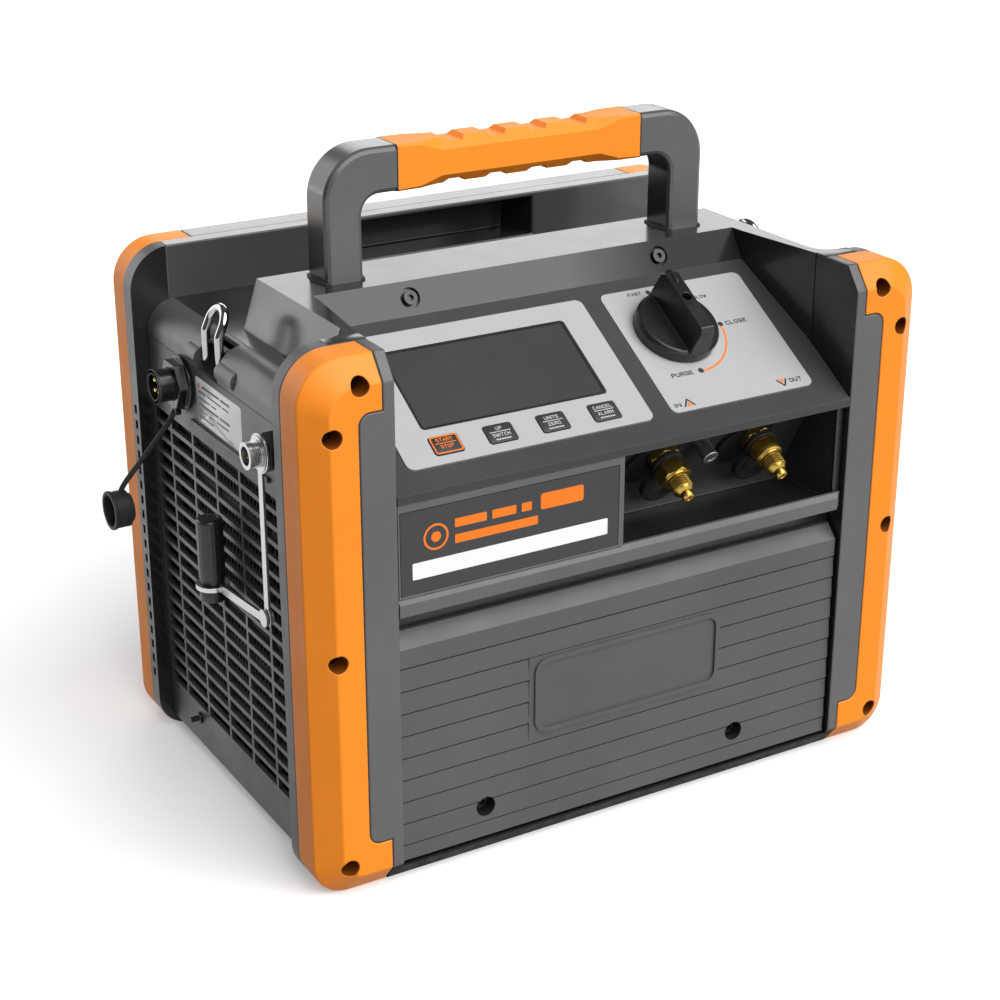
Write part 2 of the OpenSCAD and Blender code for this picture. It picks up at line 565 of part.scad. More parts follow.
// round shoulder above a side panel, with a trough and two bosses for the bail
module shoulder() {
  cx = side_x - 15; cz = low_deck_z - 15; t0 = bail_y[0] - 4.5; t1 = bail_y[1] + 4.5;
  difference() {
    union() {
      difference() {
        ey(flange_y + 0.3, rear_y - 0.3) difference() {
          union() {
            translate([side_x - skin_t, 223.6]) square([skin_t, cz - 223.6]);
            intersection() {
              translate([cx, cz]) circle(15);
              translate([cx + 0.1, cz]) square([15, 15]);
            }
          }
          translate([cx, cz]) circle(12.5);
        }
        box([cx + 2, t0, 220], [side_x + 1, t1, low_deck_z + 1]);
      }
      // trough
      difference() {
        intersection() {
          bar_y(t0 - 2, t1 + 2, bail_x, bail_z, 10.4);
          ey(t0 - 2, t1 + 2) union() {
            translate([cx - 6, 212]) square([side_x - cx + 6, cz - 212]);
            translate([cx, cz]) circle(14.8);
          }
          box([cx - 3, 0, 214], [side_x - skin_t - 0.2, 250, low_deck_z + 1]);
        }
        bar_y(t0, t1, bail_x, bail_z, 8.4);
        box([bail_x - wire_r - 1, t0, bail_z], [side_x + 1, t1, low_deck_z + 2]);
      }
      // bosses
      bar_y(97, t0, bail_x, bail_z, 5.4);
      bar_y(t1, 154, bail_x, bail_z, 5.4);
    }
    bar_y(bail_y[0] - 12, bail_y[1] + 12, bail_x, bail_z, wire_r + 0.05);
  }
}
module right_shoulder() { color(c_grey) place() shoulder(); }
module left_shoulder() { color(c_grey) place() mirror([1, 0, 0]) shoulder(); }

// strap bail: one bent wire, cranked inwards above the shoulder
module bail() {
  top = 257.5; xk = bail_x; zk = 244.5; xt = bail_x - 2.2; ym = (bail_y[0] + bail_y[1]) / 2; rr = (bail_y[1] - bail_y[0]) / 2;
  len2 = norm([xk - xt, top - rr - zk]); an = atan2(xk - xt, top - rr - zk);
  for (y = bail_y) {
    translate([bail_x, y, bail_z]) sphere(wire_r + 0.12);
    bar_z(bail_z, zk, bail_x, y, wire_r);
    translate([xk, y, zk]) sphere(wire_r + 0.12);
    translate([xk, y, zk]) rotate([0, -an, 0]) cylinder(r = wire_r, h = len2 - 0.1);
    translate([xt, y, top - rr]) sphere(wire_r + 0.12);
  }
  bar_y(bail_y[0] - 11, bail_y[0], bail_x, bail_z, wire_r);
  bar_y(bail_y[1], bail_y[1] + 11, bail_x, bail_z, wire_r);
  translate([xt, ym, top - rr]) rotate([0, -an, 0]) rotate([90, 0, 90]) rotate_extrude(angle = 180) translate([rr, 0]) circle(wire_r);
}
module right_bail() { color(c_chrome) place() bail(); }
module left_bail() { color(c_chrome) place() mirror([1, 0, 0]) bail(); }

module side_pin() {
  color(c_black) place() for (m = [0, 1]) mirror([m, 0, 0]) {
    bar_x(side_x - 8, side_x + 6, 166, 17.5, 1.6);
    bar_x(side_x, side_x + 1.4, 166, 17.5, 3.2);
  }
}

// ---------- handle ----------

handle_y = 108;
module handle_frame() {
  a = handle_w / 2; leg = 20.5; r1 = 25; r2 = 10; zi = handle_top - bar_h; gx = grip_l / 2;
  color(c_dark) place() difference() {
    union() {
      ey(handle_y, handle_y + bar_d) difference() {
        union() {
          translate([-a, front_h]) square([2 * a, handle_top - r1 - front_h]);
          translate([-a + r1, front_h]) square([2 * (a - r1), handle_top - front_h]);
          for (i = [-1, 1]) translate([i * (a - r1), handle_top - r1]) circle(r1);
        }
        translate([-a + leg, front_h - 1]) square([2 * (a - leg), zi - r2 - front_h + 1]);
        translate([-a + leg + r2, front_h - 1]) square([2 * (a - leg - r2), zi - front_h + 1]);
        for (i = [-1, 1]) translate([i * (a - leg - r2), zi - r2]) circle(r2);
        translate([-gx, zi - 1]) square([2 * gx, bar_h + 2]);
      }
      // core bar inside the grip
      box([-gx - 1, handle_y + 6, zi + 6], [gx + 1, handle_y + bar_d - 6, handle_top - 6]);
    }
    for (i = [-1, 1], j = [0, 1]) bar_z(front_h - 1, front_h + 20, i * (a - 10.2), 113.5 + 11.5 * j, 2.6);
  }
}
// soft grip: deep chamfers in the middle, square ends, finger notches above and below
module grip_end(c1, c2, x0, x1) {
  zi = handle_top - bar_h; y0 = handle_y; y1 = handle_y + bar_d;
  hull() for (q = [[x0, c1], [x1, c2]]) {
    c = q[1];
    ex(q[0] - 0.01, q[0] + 0.01) polygon([[y0 + c, zi], [y1 - c, zi], [y1, zi + c], [y1, handle_top - c], [y1 - c, handle_top],
      [y0 + c, handle_top], [y0, handle_top - c], [y0, zi + c]]);
  }
}
module handle_grip() {
  zi = handle_top - bar_h; gx = grip_l / 2 - 0.05;
  color(c_orange) place() difference() {
    union() {
      grip_end(1, 1.4, -gx, -58);
      grip_end(1.4, 5.2, -58, -46);
      grip_end(5.2, 5.2, -46, 46);
      grip_end(5.2, 1.4, 46, 58);
      grip_end(1.4, 1, 58, gx);
    }
    for (k = [-1.5:1:1.5]) {
      translate([k * notch_pitch, 0, 0]) {
        ey(0, 200) polygon([[-8, handle_top + 1], [-5, handle_top - 2.2], [3, handle_top - 2.2], [6, handle_top + 1]]);
        ey(0, 200) polygon([[-8, zi - 1], [-5, zi + 2.2], [3, zi + 2.2], [6, zi - 1]]);
      }
    }
    box([-gx - 1, handle_y + 5.95, zi + 5.95], [gx + 1, handle_y + bar_d - 5.95, handle_top - 5.95]);
  }
}
module handle_bolts() {
  color(c_chrome) place() for (i = [-1, 1], j = [0, 1]) {
    x = i * (handle_w / 2 - 10.2); y = 113.5 + 11.5 * j;
    bar_z(front_h - 3, front_h + 17, x, y, 2.5);
    bar_z(front_h - 7, front_h - 3.05, x, y, 4.4);
  }
}

// ---------- connectors on the left side ----------

module power_socket() {
  y = power_yz[0]; z = power_yz[1];
  color(c_black) place() {
    difference() {
      union() {
        bar_x(-side_x - 16, -side_x - 0.2, y, z, 8.3);
        bar_x(-side_x - 2, -side_x + 16, y, z, 8.2);
        bar_x(-side_x - 16, -side_x - 14, y, z, 8.8);
        bar_x(-side_x + skin_t + 0.1, -side_x + skin_t + 4, y, z, 12);
      }
      bar_x(-side_x - 17, -side_x - 5, y, z, 6.8);
    }
    // four contact pins on the socket's floor
    for (i = [-1, 1], j = [-1, 1]) bar_x(-side_x - 12.5, -side_x - 4.9, y + i * 2.7, z + j * 2.7, 1.1);
  }
}
module power_socket_nut() {
  y = power_yz[0]; z = power_yz[1];
  color(c_black) place() difference() {
    union() {
      bar_x(-side_x - 2.2, -side_x - 0.05, y, z, 14);
      translate([-side_x - 7, y, z]) rotate([0, 90, 0]) rotate([0, 0, 30]) cylinder(r = 13, h = 5, $fn = 6);
      // lug that holds the tether
      box([-side_x - 5.5, y - 1, z - 17], [-side_x - 2.2, y + 5, z - 9]);
    }
    bar_x(-side_x - 8, -side_x + 1, y, z, 8.4);
  }
}
module dust_cap() {
  color(c_black) place() difference() {
    union() {
      bar_x(-207, -197.5, 172, 145, 9.6);
      bar_x(-207, -205.2, 172, 145, 10.2);
      bar_x(-197.6, -195.5, 172, 145, 7.5);
    }
    bar_x(-208, -199.5, 172, 145, 8.2);
  }
}
module cap_tether() { color(c_black) place() sweep(tether_pts, tether_r, 8); }

module sensor_socket() {
  y = sensor_yz[0]; z = sensor_yz[1];
  color(c_chrome) place() difference() {
    union() {
      bar_x(-side_x - 14.6, -side_x + 12, y, z, 6);
      bar_x(-side_x - 14.6, -side_x - 12.4, y, z, 6.6);
      bar_x(-side_x - 8.2, -side_x - 8, y, z, 8.6);
      bar_x(-side_x + skin_t + 0.1, -side_x + skin_t + 3, y, z, 9);
    }
    bar_x(-side_x - 16, -side_x - 6, y, z, 4.6);
  }
}
module sensor_socket_nut() {
  y = sensor_yz[0]; z = sensor_yz[1];
  color(c_dark) place() difference() {
    translate([-side_x - 5.6, y, z]) rotate([0, 90, 0]) cylinder(r = 10, h = 5.5, $fn = 6);
    bar_x(-side_x - 8, -side_x + 2, y, z, 6.1);
  }
}
// two stamped links that keep the sensor cap with its socket
module lanyard_upper() {
  y = sensor_yz[0]; z = sensor_yz[1]; x0 = link_x - 0.8; x1 = link_x + 0.8;
  color(c_chrome) place() difference() {
    union() {
      bar_x(x0, x1, y, z, 9.6);
      box([x0, y - 2.2, knot_z], [x1, y + 2.2, z - 6.5]);
      bar_x(x0, x1, y, knot_z, 4.4);
    }
    bar_x(x0 - 1, x1 + 1, y, z, 6.35);
    bar_x(x0 - 1, x1 + 1, y, knot_z, 2.05);
  }
}
module lanyard_lower() {
  y = sensor_yz[0]; x1 = link_x - 1.1; x0 = x1 - 1.6; dz = -6; l = norm([cap_y - y, dz]); an = atan2(dz, cap_y - y);
  color(c_chrome) place() difference() {
    union() {
      bar_x(x0, x1, y, knot_z, 4.4);
      bar_x(x0, link_x + 1.6, y, knot_z, 2);
      bar_x(link_x + 1.1, link_x + 2.2, y, knot_z, 3.4);
      translate([x0, y, knot_z]) rotate([an, 0, 0]) translate([0, 0, -2.2]) cube([x1 - x0, l - 7.5, 4.4]);
      bar_z(knot_z + dz - 1.2, knot_z + dz + 1.2, cap_x, cap_y, 8.4);
    }
    bar_z(knot_z + dz - 9, knot_z + dz + 9, cap_x, cap_y, 5.4);
  }
}
module sensor_cap() {
  zr = knot_z - 6;
  color(c_black) place() {
    bar_z(zr - 8, zr - 1.6, cap_x, cap_y, 6.7);
    bar_z(zr - 1.7, zr + 1.7, cap_x, cap_y, 5);
    bar_z(zr + 1.6, zr + 36, cap_x, cap_y, 6.7);
  }
}

// ---------- base and machinery ----------

module base_pan() {
  color(c_dark) place() difference() {
    union() {
      ex(-tab_x + 0.5, tab_x - 0.5) polygon([[2.5, 3], [2.5, 2], [8.6, ground], [body_d - 8.6, ground], [body_d - 2.5, 2], [body_d - 2.5, 3]]);
      box([-side_x + skin_t + 0.4, flange_y + 0.3, 0], [side_x - skin_t - 0.4, rear_y - 0.3, 3]);
      for (p = pscrew) box([p[0] - 9, 15.9, 2.5], [p[0] + 9, 18, 32]);
    }
    for (p = pscrew) bar_y(14, 20, p[0], p[1], 2.1);
    // hollow underside on both sides of a middle rib
    for (i = [-1, 1]) box([min(i * 16, i * (tab_x - 5)), 14, ground - 1], [max(i * 16, i * (tab_x - 5)), body_d - 14, 0]);
  }
}
module condenser_coil() {
  color(c_alu) place() {
    for (k = [0:30]) box([-158, 64 + k * 4, 26], [-140, 65.2 + k * 4, 184]);
    for (y = [61.5, 190.5]) box([-160, y, 3.05], [-138, y + 2, 186]);
    for (k = [0:7], x = [-154, -144]) bar_y(60, 194, x, 36 + k * 20, 4);
  }
}
module fan_housing() {
  color(c_black) place() difference() {
    union() {
      box([-136, 62, 3.05], [-133.5, 192, 186]);
      bar_x(-136, -112, fan_yz[0], fan_yz[1], 63);
      for (k = [0:2]) translate([-106, fan_yz[0], fan_yz[1]]) rotate([k * 120 + 90, 0, 0]) box([0, 15, -4], [4, 63, 4]);
      for (k = [0:2]) translate([-113, fan_yz[0], fan_yz[1]]) rotate([k * 120 + 90, 0, 0]) box([0, 58.5, -4], [11, 63, 4]);
      bar_x(-106, -78, fan_yz[0], fan_yz[1], 21);
    }
    bar_x(-137, -108, fan_yz[0], fan_yz[1], 60);
    bar_x(-107, -90, fan_yz[0], fan_yz[1], 3.06);
  }
}
module fan_rotor() {
  color(c_dark) place() translate([0, fan_yz[0], fan_yz[1]]) {
    bar_x(-131, -113, 0, 0, 19);
    bar_x(-114, -91, 0, 0, 3);
    for (k = [0:6]) rotate([k * 360 / 7, 0, 0]) translate([-122, 0, 37]) rotate([0, 0, 32]) cube([18, 1.8, 40], center = true);
  }
}
// twin-cylinder oil-less compressor with its motor can
module compressor() {
  y = crank_yz[0]; z = crank_yz[1];
  color(c_alu) place() difference() {
    union() {
      box([-62, y - 38, 26], [20, y + 38, 108]);
      box([-58, y - 48, 3.05], [16, y + 48, 27]);
      for (x = [-40, 0]) {
        bar_z(107, 150, x, y, 19);
        for (k = [0:4]) bar_z(113 + k * 7, 115.5 + k * 7, x, y, 21 + 4);
        box([x - 18, y - 24, 149.5], [x + 18, y + 24, 164]);
      }
      bar_x(19, 112, y, z, 37);
      box([30, y - 30, 3.05], [100, y + 30, 40]);
    }
    bar_x(-57, 15, y, z, 27);
    bar_x(25, 106, y, z, 31);
    bar_x(-60, 113, y, z, 10.06);
    for (x = [-40, 0]) bar_z(z, 145, x, y, 14);
  }
}
module crankshaft() {
  y = crank_yz[0]; z = crank_yz[1];
  color(c_chrome) place() {
    bar_x(-59.5, -50, y, z, 10);
    bar_x(-50, -47, y, z, 22);
    bar_x(-47.1, -32.9, y, z + 9, 10);
    bar_x(-33, -28, y, z, 22);
    bar_x(-28, -12, y, z, 10);
    bar_x(-12, -7, y, z, 22);
    bar_x(-7.1, 7.1, y, z - 9, 10);
    bar_x(7, 12, y, z, 22);
    bar_x(12, 111, y, z, 10);
    bar_x(32, 98, y, z, 28);
  }
}
module power_board() {
  color([0.10, 0.32, 0.16]) place() {
    box([144, 58, 3.05], [146, 196, 190]);
    for (k = [0, 1], j = [0, 1]) bar_x(139, 144.1, 66 + k * 122, 40 + j * 130, 3);
    box([137.4, 60, 34], [139.1, 194, 186]);
    for (k = [0:8]) box([121, 70 + k * 6, 60], [137.5, 72.5 + k * 6, 150]);
    for (k = [0:2]) bar_x(112, 137.5, 140 + k * 18, 150, 7);
    box([118, 132, 60], [137.5, 184, 120]);
  }
}
module refrigerant_lines() {
  color(c_copper) place() { sweep(line_in, line_r, 12); sweep(line_out, line_r, 12); sweep(line_dis, line_r, 12); }
}

base_pan();
front_post_left();
front_post_right();
front_cowl();
front_panel();
cover_screws();
front_shelf();
info_frame();
info_plate();
port_bay();
port_pads();
inlet_port();
outlet_port();
earth_stud();
display_bezel();
lcd_window();
control_board();
key_start();
key_up();
key_units();
key_cancel();
dial_plate();
selector_knob();
valve_stem();
valve_block();
bumper_front_left();
bumper_front_right();
bumper_rear_left();
bumper_rear_right();
bumper_screws();
rear_frame();
rear_panel();
rear_top_cover();
top_cover();
left_side_panel();
right_side_panel();
left_shoulder();
right_shoulder();
left_bail();
right_bail();
handle_frame();
handle_grip();
handle_bolts();
power_socket();
power_socket_nut();
dust_cap();
cap_tether();
sensor_socket();
sensor_socket_nut();
lanyard_upper();
lanyard_lower();
sensor_cap();
side_pin();
condenser_coil();
fan_housing();
fan_rotor();
compressor();
crankshaft();
power_board();
refrigerant_lines();
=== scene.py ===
import math

import bmesh
import bpy
from mathutils import Matrix, Vector
from mathutils.bvhtree import BVHTree


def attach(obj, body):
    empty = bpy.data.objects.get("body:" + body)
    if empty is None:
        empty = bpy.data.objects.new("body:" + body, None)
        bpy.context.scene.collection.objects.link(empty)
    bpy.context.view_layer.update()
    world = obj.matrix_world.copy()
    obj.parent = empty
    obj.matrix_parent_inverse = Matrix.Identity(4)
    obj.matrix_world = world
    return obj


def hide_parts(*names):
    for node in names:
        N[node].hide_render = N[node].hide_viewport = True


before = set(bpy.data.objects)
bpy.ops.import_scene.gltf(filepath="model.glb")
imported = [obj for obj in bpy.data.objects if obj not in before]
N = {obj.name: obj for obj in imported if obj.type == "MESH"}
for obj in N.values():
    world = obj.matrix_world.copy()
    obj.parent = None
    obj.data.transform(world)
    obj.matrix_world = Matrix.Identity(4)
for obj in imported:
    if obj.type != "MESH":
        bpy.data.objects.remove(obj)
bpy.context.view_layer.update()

MM = 0.001
rad = math.radians
sin, cos, pi = math.sin, math.cos, math.pi

# ------------------------------------------------------------------ places
# Lengths below are in millimetres with y counted from the front face, as the
# construction has them; these helpers turn them into metres in the row frame.


LIFT = 6.0  # the resting face lies this far below the zero of the heights used here
LIFTED = Matrix.Translation((0, 0, LIFT * MM))


def P(x, y, z):
    return Vector((x * MM, (y - 120) * MM, (z + LIFT) * MM))


def on_panel(x, s, h=0.0):
    """Frame on the sloped control panel: x across, y up the slope, z outwards."""
    a = rad(31)
    return Matrix.Translation(P(x, 1 + s * cos(a), 198.3 + s * sin(a))) @ Matrix.Rotation(a, 4, "X") @ Matrix.Translation((0, 0, h * MM))


def on_bay(x, t, h=0.0):
    """Frame on the slanted wall of the port bay: z points forwards and down."""
    return Matrix.Translation(P(x, 45 - t * sin(rad(30)), 153 + t * cos(rad(30)))) @ Matrix.Rotation(rad(120), 4, "X") @ Matrix.Translation((0, 0, h * MM))


def on_front(x, y, z):
    """x across, y up, z out of the front face."""
    return Matrix.Translation(P(x, y, z)) @ Matrix.Rotation(rad(90), 4, "X")


def on_back(x, y, z):
    return Matrix.Translation(P(x, y, z)) @ Matrix.Rotation(pi, 4, "Z") @ Matrix.Rotation(rad(90), 4, "X")


def on_left(x, y, z):
    """x towards the front, y up, z out of the left side."""
    m = Matrix(((0, 0, -1, 0), (-1, 0, 0, 0), (0, 1, 0, 0), (0, 0, 0, 1)))
    return Matrix.Translation(P(x, y, z)) @ m


def upright(x, y, z):
    return Matrix.Translation(P(x, y, z))


# ------------------------------------------------------------------ camera
cam_data = bpy.data.cameras.new("camera")
cam_data.lens = 73.99
cam_data.sensor_width = 36
cam_data.clip_start, cam_data.clip_end = 0.01, 60
cam = bpy.data.objects.new("camera", cam_data)
cam.location = (-0.5242, -0.8812, 0.5537 + LIFT * MM)
cam.rotation_euler = (rad(67.36), 0, rad(-30.44))
bpy.context.scene.collection.objects.link(cam)
bpy.context.scene.camera = cam

# ------------------------------------------------------------------ materials


def lin(r, g, b):
    """sRGB 0..255 to linear."""
    out = []
    for c in (r, g, b):
        c /= 255
        out.append(c / 12.92 if c <= 0.04045 else ((c + 0.055) / 1.055) ** 2.4)
    return tuple(out)


class Mat:
    def __init__(self, name):
        self.m = bpy.data.materials.new(name)
        self.m.use_nodes = True
        self.t = self.m.node_tree
        self.b = self.t.nodes["Principled BSDF"]
        self.co = self.t.nodes.new("ShaderNodeTexCoord").outputs["Object"]

    def add(self, kind, **inputs):
        n = self.t.nodes.new(kind)
        for k, v in inputs.items():
            n.inputs[k.replace("_", " ")].default_value = v
        return n

    def link(self, a, b):
        self.t.links.new(a, b)

    def noise(self, scale, detail=3.0, rough=0.5, stretch=None):
        n = self.add("ShaderNodeTexNoise", Scale=scale, Detail=detail, Roughness=rough)
        src = self.co
        if stretch:
            mp = self.t.nodes.new("ShaderNodeMapping")
            mp.inputs["Scale"].default_value = stretch
            self.link(self.co, mp.inputs["Vector"])
            src = mp.outputs["Vector"]
        self.link(src, n.inputs["Vector"])
        return n.outputs["Fac"]

    def cells(self, scale):
        n = self.add("ShaderNodeTexVoronoi", Scale=scale)
        self.link(self.co, n.inputs["Vector"])
        return n.outputs["Distance"]

    def ramp(self, fac, *stops):
        n = self.t.nodes.new("ShaderNodeValToRGB")
        e = n.color_ramp.elements
        while len(e) < len(stops):
            e.new(0.5)
        for k, (pos, c) in zip(e, stops):
            k.position = pos
            k.color = (*c, 1) if len(c) == 3 else c
        self.link(fac, n.inputs["Fac"])
        return n.outputs["Color"]

    def span(self, fac, a, b, c, d):
        n = self.t.nodes.new("ShaderNodeMapRange")
        for i, v in enumerate((a, b, c, d)):
            n.inputs[i + 1].default_value = v
        self.link(fac, n.inputs[0])
        return n.outputs[0]

    def mix(self, fac, a, b, kind="MIX"):
        n = self.t.nodes.new("ShaderNodeMix")
        n.data_type, n.blend_type = "RGBA", kind
        for sock, v in (("Factor_Float", fac), ("A_Color", a), ("B_Color", b)):
            i = next(s for s in n.inputs if s.identifier == sock)
            if isinstance(v, (int, float)):
                i.default_value = v
            elif isinstance(v, tuple):
                i.default_value = (*v, 1)
            else:
                self.link(v, i)
        return next(s for s in n.outputs if s.identifier == "Result_Color")

    def edges(self, radius, lo=0.995, hi=0.90):
        """1 on outer and inner edges, 0 on flat ground."""
        bev = self.t.nodes.new("ShaderNodeBevel")
        bev.samples = 4
        bev.inputs["Radius"].default_value = radius
        geo = self.t.nodes.new("ShaderNodeNewGeometry")
        dot = self.t.nodes.new("ShaderNodeVectorMath")
        dot.operation = "DOT_PRODUCT"
        self.link(bev.outputs["Normal"], dot.inputs[0])
        self.link(geo.outputs["Normal"], dot.inputs[1])
        return self.span(dot.outputs["Value"], lo, hi, 0.0, 1.0), bev.outputs["Normal"]

    def bump(self, height, strength, distance, normal=None):
        n = self.t.nodes.new("ShaderNodeBump")
        n.inputs["Strength"].default_value = strength
        n.inputs["Distance"].default_value = distance
        self.link(height, n.inputs["Height"])
        if normal is not None:
            self.link(normal, n.inputs["Normal"])
        return n.outputs["Normal"]

    def put(self, socket, v):
        i = self.b.inputs[socket]
        if isinstance(v, (int, float)):
            i.default_value = v
        elif isinstance(v, tuple):
            i.default_value = (*v, 1)
        else:
            self.link(v, i)


def shade(c, k):
    return tuple(min(1.0, x * k) for x in c)


def plastic(name, col, rough, grain=900, depth=0.00006, strength=0.22, var=0.10, edge=0.35, edge_r=0.0007, spec=0.5, coat=0.0, coat_rough=0.15, rspan=0.10, scuff=0.0):
    """Moulded plastic: spark-eroded grain, slow colour drift, polished and slightly paler edges."""
    m = Mat(name)
    drift = m.noise(14, 3, 0.6)
    c = m.ramp(drift, (0.30, shade(col, 1 - var)), (0.70, shade(col, 1 + var)))
    speck = m.noise(420, 2, 0.7)
    c = m.mix(m.span(speck, 0.60, 0.80, 0.0, 0.25), c, shade(col, 1.25))
    if edge:
        e, _ = m.edges(edge_r)
        worn = m.noise(60, 4, 0.7)
        f = m.t.nodes.new("ShaderNodeMath")
        f.operation = "MULTIPLY"
        m.link(e, f.inputs[0])
        m.link(m.span(worn, 0.30, 0.75, 0.15 * edge, edge), f.inputs[1])
        c = m.mix(f.outputs[0], c, shade(tuple(x + 0.04 for x in col), 1.7))
    m.put("Base Color", c)
    patch = m.noise(38, 4, 0.6)
    r = m.span(patch, 0.25, 0.75, max(0.05, rough - rspan), min(1.0, rough + rspan))
    if scuff:
        lines = m.noise(90, 5, 0.7, (1.0, 1.0, 9.0))
        a = m.t.nodes.new("ShaderNodeMath")
        a.operation = "ADD"
        m.link(r, a.inputs[0])
        m.link(m.span(lines, 0.62, 0.75, 0.0, scuff), a.inputs[1])
        r = a.outputs[0]
    m.put("Roughness", r)
    g = m.noise(grain, 2, 0.55)
    m.put("Normal", m.bump(g, strength, depth))
    m.put("Specular IOR Level", spec)
    if coat:
        m.put("Coat Weight", coat)
        m.put("Coat Roughness", coat_rough)
    return m.m


def metal(name, col, rough, brush=None, grime=0.12, dark=0.5, bump=0.08, rs=0.09):
    """Metal with fine machining lines, uneven polish and a little tarnish in patches."""
    m = Mat(name)
    patch = m.noise(70, 4, 0.65)
    fine = m.noise(650, 3, 0.6, brush)
    c = m.ramp(patch, (0.25, shade(col, 1 - grime)), (0.55, col), (0.85, shade(col, 1 + grime * 0.5)))
    c = m.mix(m.span(fine, 0.55, 0.8, 0.0, 0.35), c, shade(col, dark))
    m.put("Base Color", c)
    m.put("Metallic", 1.0)
    m.put("Roughness", m.span(fine, 0.2, 0.8, max(0.03, rough - rs), rough + rs))
    m.put("Normal", m.bump(fine, bump, 0.00003))
    return m.m


def ink(name, col, rough=0.45, mottle=0.06):
    """Screen-printed ink: nearly even, with a faint mottled coat."""
    m = Mat(name)
    n = m.noise(260, 3, 0.6)
    m.put("Base Color", m.ramp(n, (0.3, shade(col, 1 - mottle)), (0.7, shade(col, 1 + 0.7 * mottle))))
    m.put("Roughness", m.span(n, 0.3, 0.7, rough - 0.06, rough + 0.08))
    m.put("Normal", m.bump(m.noise(1500, 2), 0.10, 0.00003))
    return m.m


def open_mat(mat):
    m = Mat.__new__(Mat)
    m.m, m.t = mat, mat.node_tree
    m.b = m.t.nodes["Principled BSDF"]
    return m


def paint_light_shade_by_facing(mat, way, tint, gloss, lo=0.72, hi=0.90):
    """Painted light and shade: the faces of a moulding that look along way get their colour multiplied by tint, painted
    shade below 1 and painted light above 1, and a smoother finish.
    """
    m = open_mat(mat)
    dot = m.t.nodes.new("ShaderNodeVectorMath")
    dot.operation = "DOT_PRODUCT"
    dot.inputs[1].default_value = way
    m.link(m.t.nodes.new("ShaderNodeTexCoord").outputs["Normal"], dot.inputs[0])
    f = m.span(dot.outputs["Value"], lo, hi, 0.0, 1.0)
    base = m.b.inputs["Base Color"].links[0].from_socket
    m.put("Base Color", m.mix(f, base, (tint, tint, tint), "MULTIPLY"))
    r = m.t.nodes.new("ShaderNodeMath")
    r.operation = "MULTIPLY_ADD"
    m.link(f, r.inputs[0])
    r.inputs[1].default_value = -gloss
    m.link(m.b.inputs["Roughness"].links[0].from_socket, r.inputs[2])
    m.put("Roughness", r.outputs[0])
    return mat


def dull(mat, way, level, lo, hi, x0=0.0, x1=0.0):
    """Less sheen on the faces of a moulding that look along way, fading in from x0 to x1 (mm)."""
    m = open_mat(mat)
    dot = m.t.nodes.new("ShaderNodeVectorMath")
    dot.operation = "DOT_PRODUCT"
    dot.inputs[1].default_value = way
    tc = m.t.nodes.new("ShaderNodeTexCoord")
    m.link(tc.outputs["Normal"], dot.inputs[0])
    f = m.span(dot.outputs["Value"], lo, hi, 0.0, 1.0)
    if x1 > x0:
        sep = m.t.nodes.new("ShaderNodeSeparateXYZ")
        m.link(tc.outputs["Object"], sep.inputs[0])
        g = m.t.nodes.new("ShaderNodeMath")
        g.operation = "MULTIPLY"
        m.link(f, g.inputs[0])
        m.link(m.span(sep.outputs["X"], x0 * MM, x1 * MM, 0.0, 1.0), g.inputs[1])
        f = g.outputs[0]
    was = m.b.inputs["Specular IOR Level"].default_value
    r = m.t.nodes.new("ShaderNodeMath")
    r.operation = "MULTIPLY_ADD"
    m.link(f, r.inputs[0])
    r.inputs[1].default_value = level - was
    r.inputs[2].default_value = was
    m.put("Specular IOR Level", r.outputs[0])
    return mat


def painted_shade_wells(mat, centres, radius, both=True):
    """Painted shade in the screw wells: the colour is darkened close round each centre; centres are (distance from the
    middle, height).
    """
    m = open_mat(mat)
    sep = m.t.nodes.new("ShaderNodeSeparateXYZ")
    m.link(m.t.nodes.new("ShaderNodeTexCoord").outputs["Object"], sep.inputs[0])
    ab = m.t.nodes.new("ShaderNodeMath")
    ab.operation = "ABSOLUTE"
    m.link(sep.outputs["X"], ab.inputs[0])
    flat = m.t.nodes.new("ShaderNodeCombineXYZ")
    m.link(ab.outputs[0] if both else sep.outputs["X"], flat.inputs["X"])
    m.link(sep.outputs["Z"], flat.inputs["Z"])
    near = None
    for x, z in centres:
        d = m.t.nodes.new("ShaderNodeVectorMath")
        d.operation = "DISTANCE"
        m.link(flat.outputs[0], d.inputs[0])
        d.inputs[1].default_value = (x * MM, 0, (z + LIFT) * MM)
        if near is None:
            near = d.outputs["Value"]
        else:
            k = m.t.nodes.new("ShaderNodeMath")
            k.operation = "MINIMUM"
            m.link(near, k.inputs[0])
            m.link(d.outputs["Value"], k.inputs[1])
            near = k.outputs[0]
    f = m.span(near, (radius + 0.45) * MM, (radius + 0.1) * MM, 0.0, 1.0)
    base = m.b.inputs["Base Color"].links[0].from_socket
    m.put("Base Color", m.mix(f, base, (0.22, 0.19, 0.16), "MULTIPLY"))
    return mat


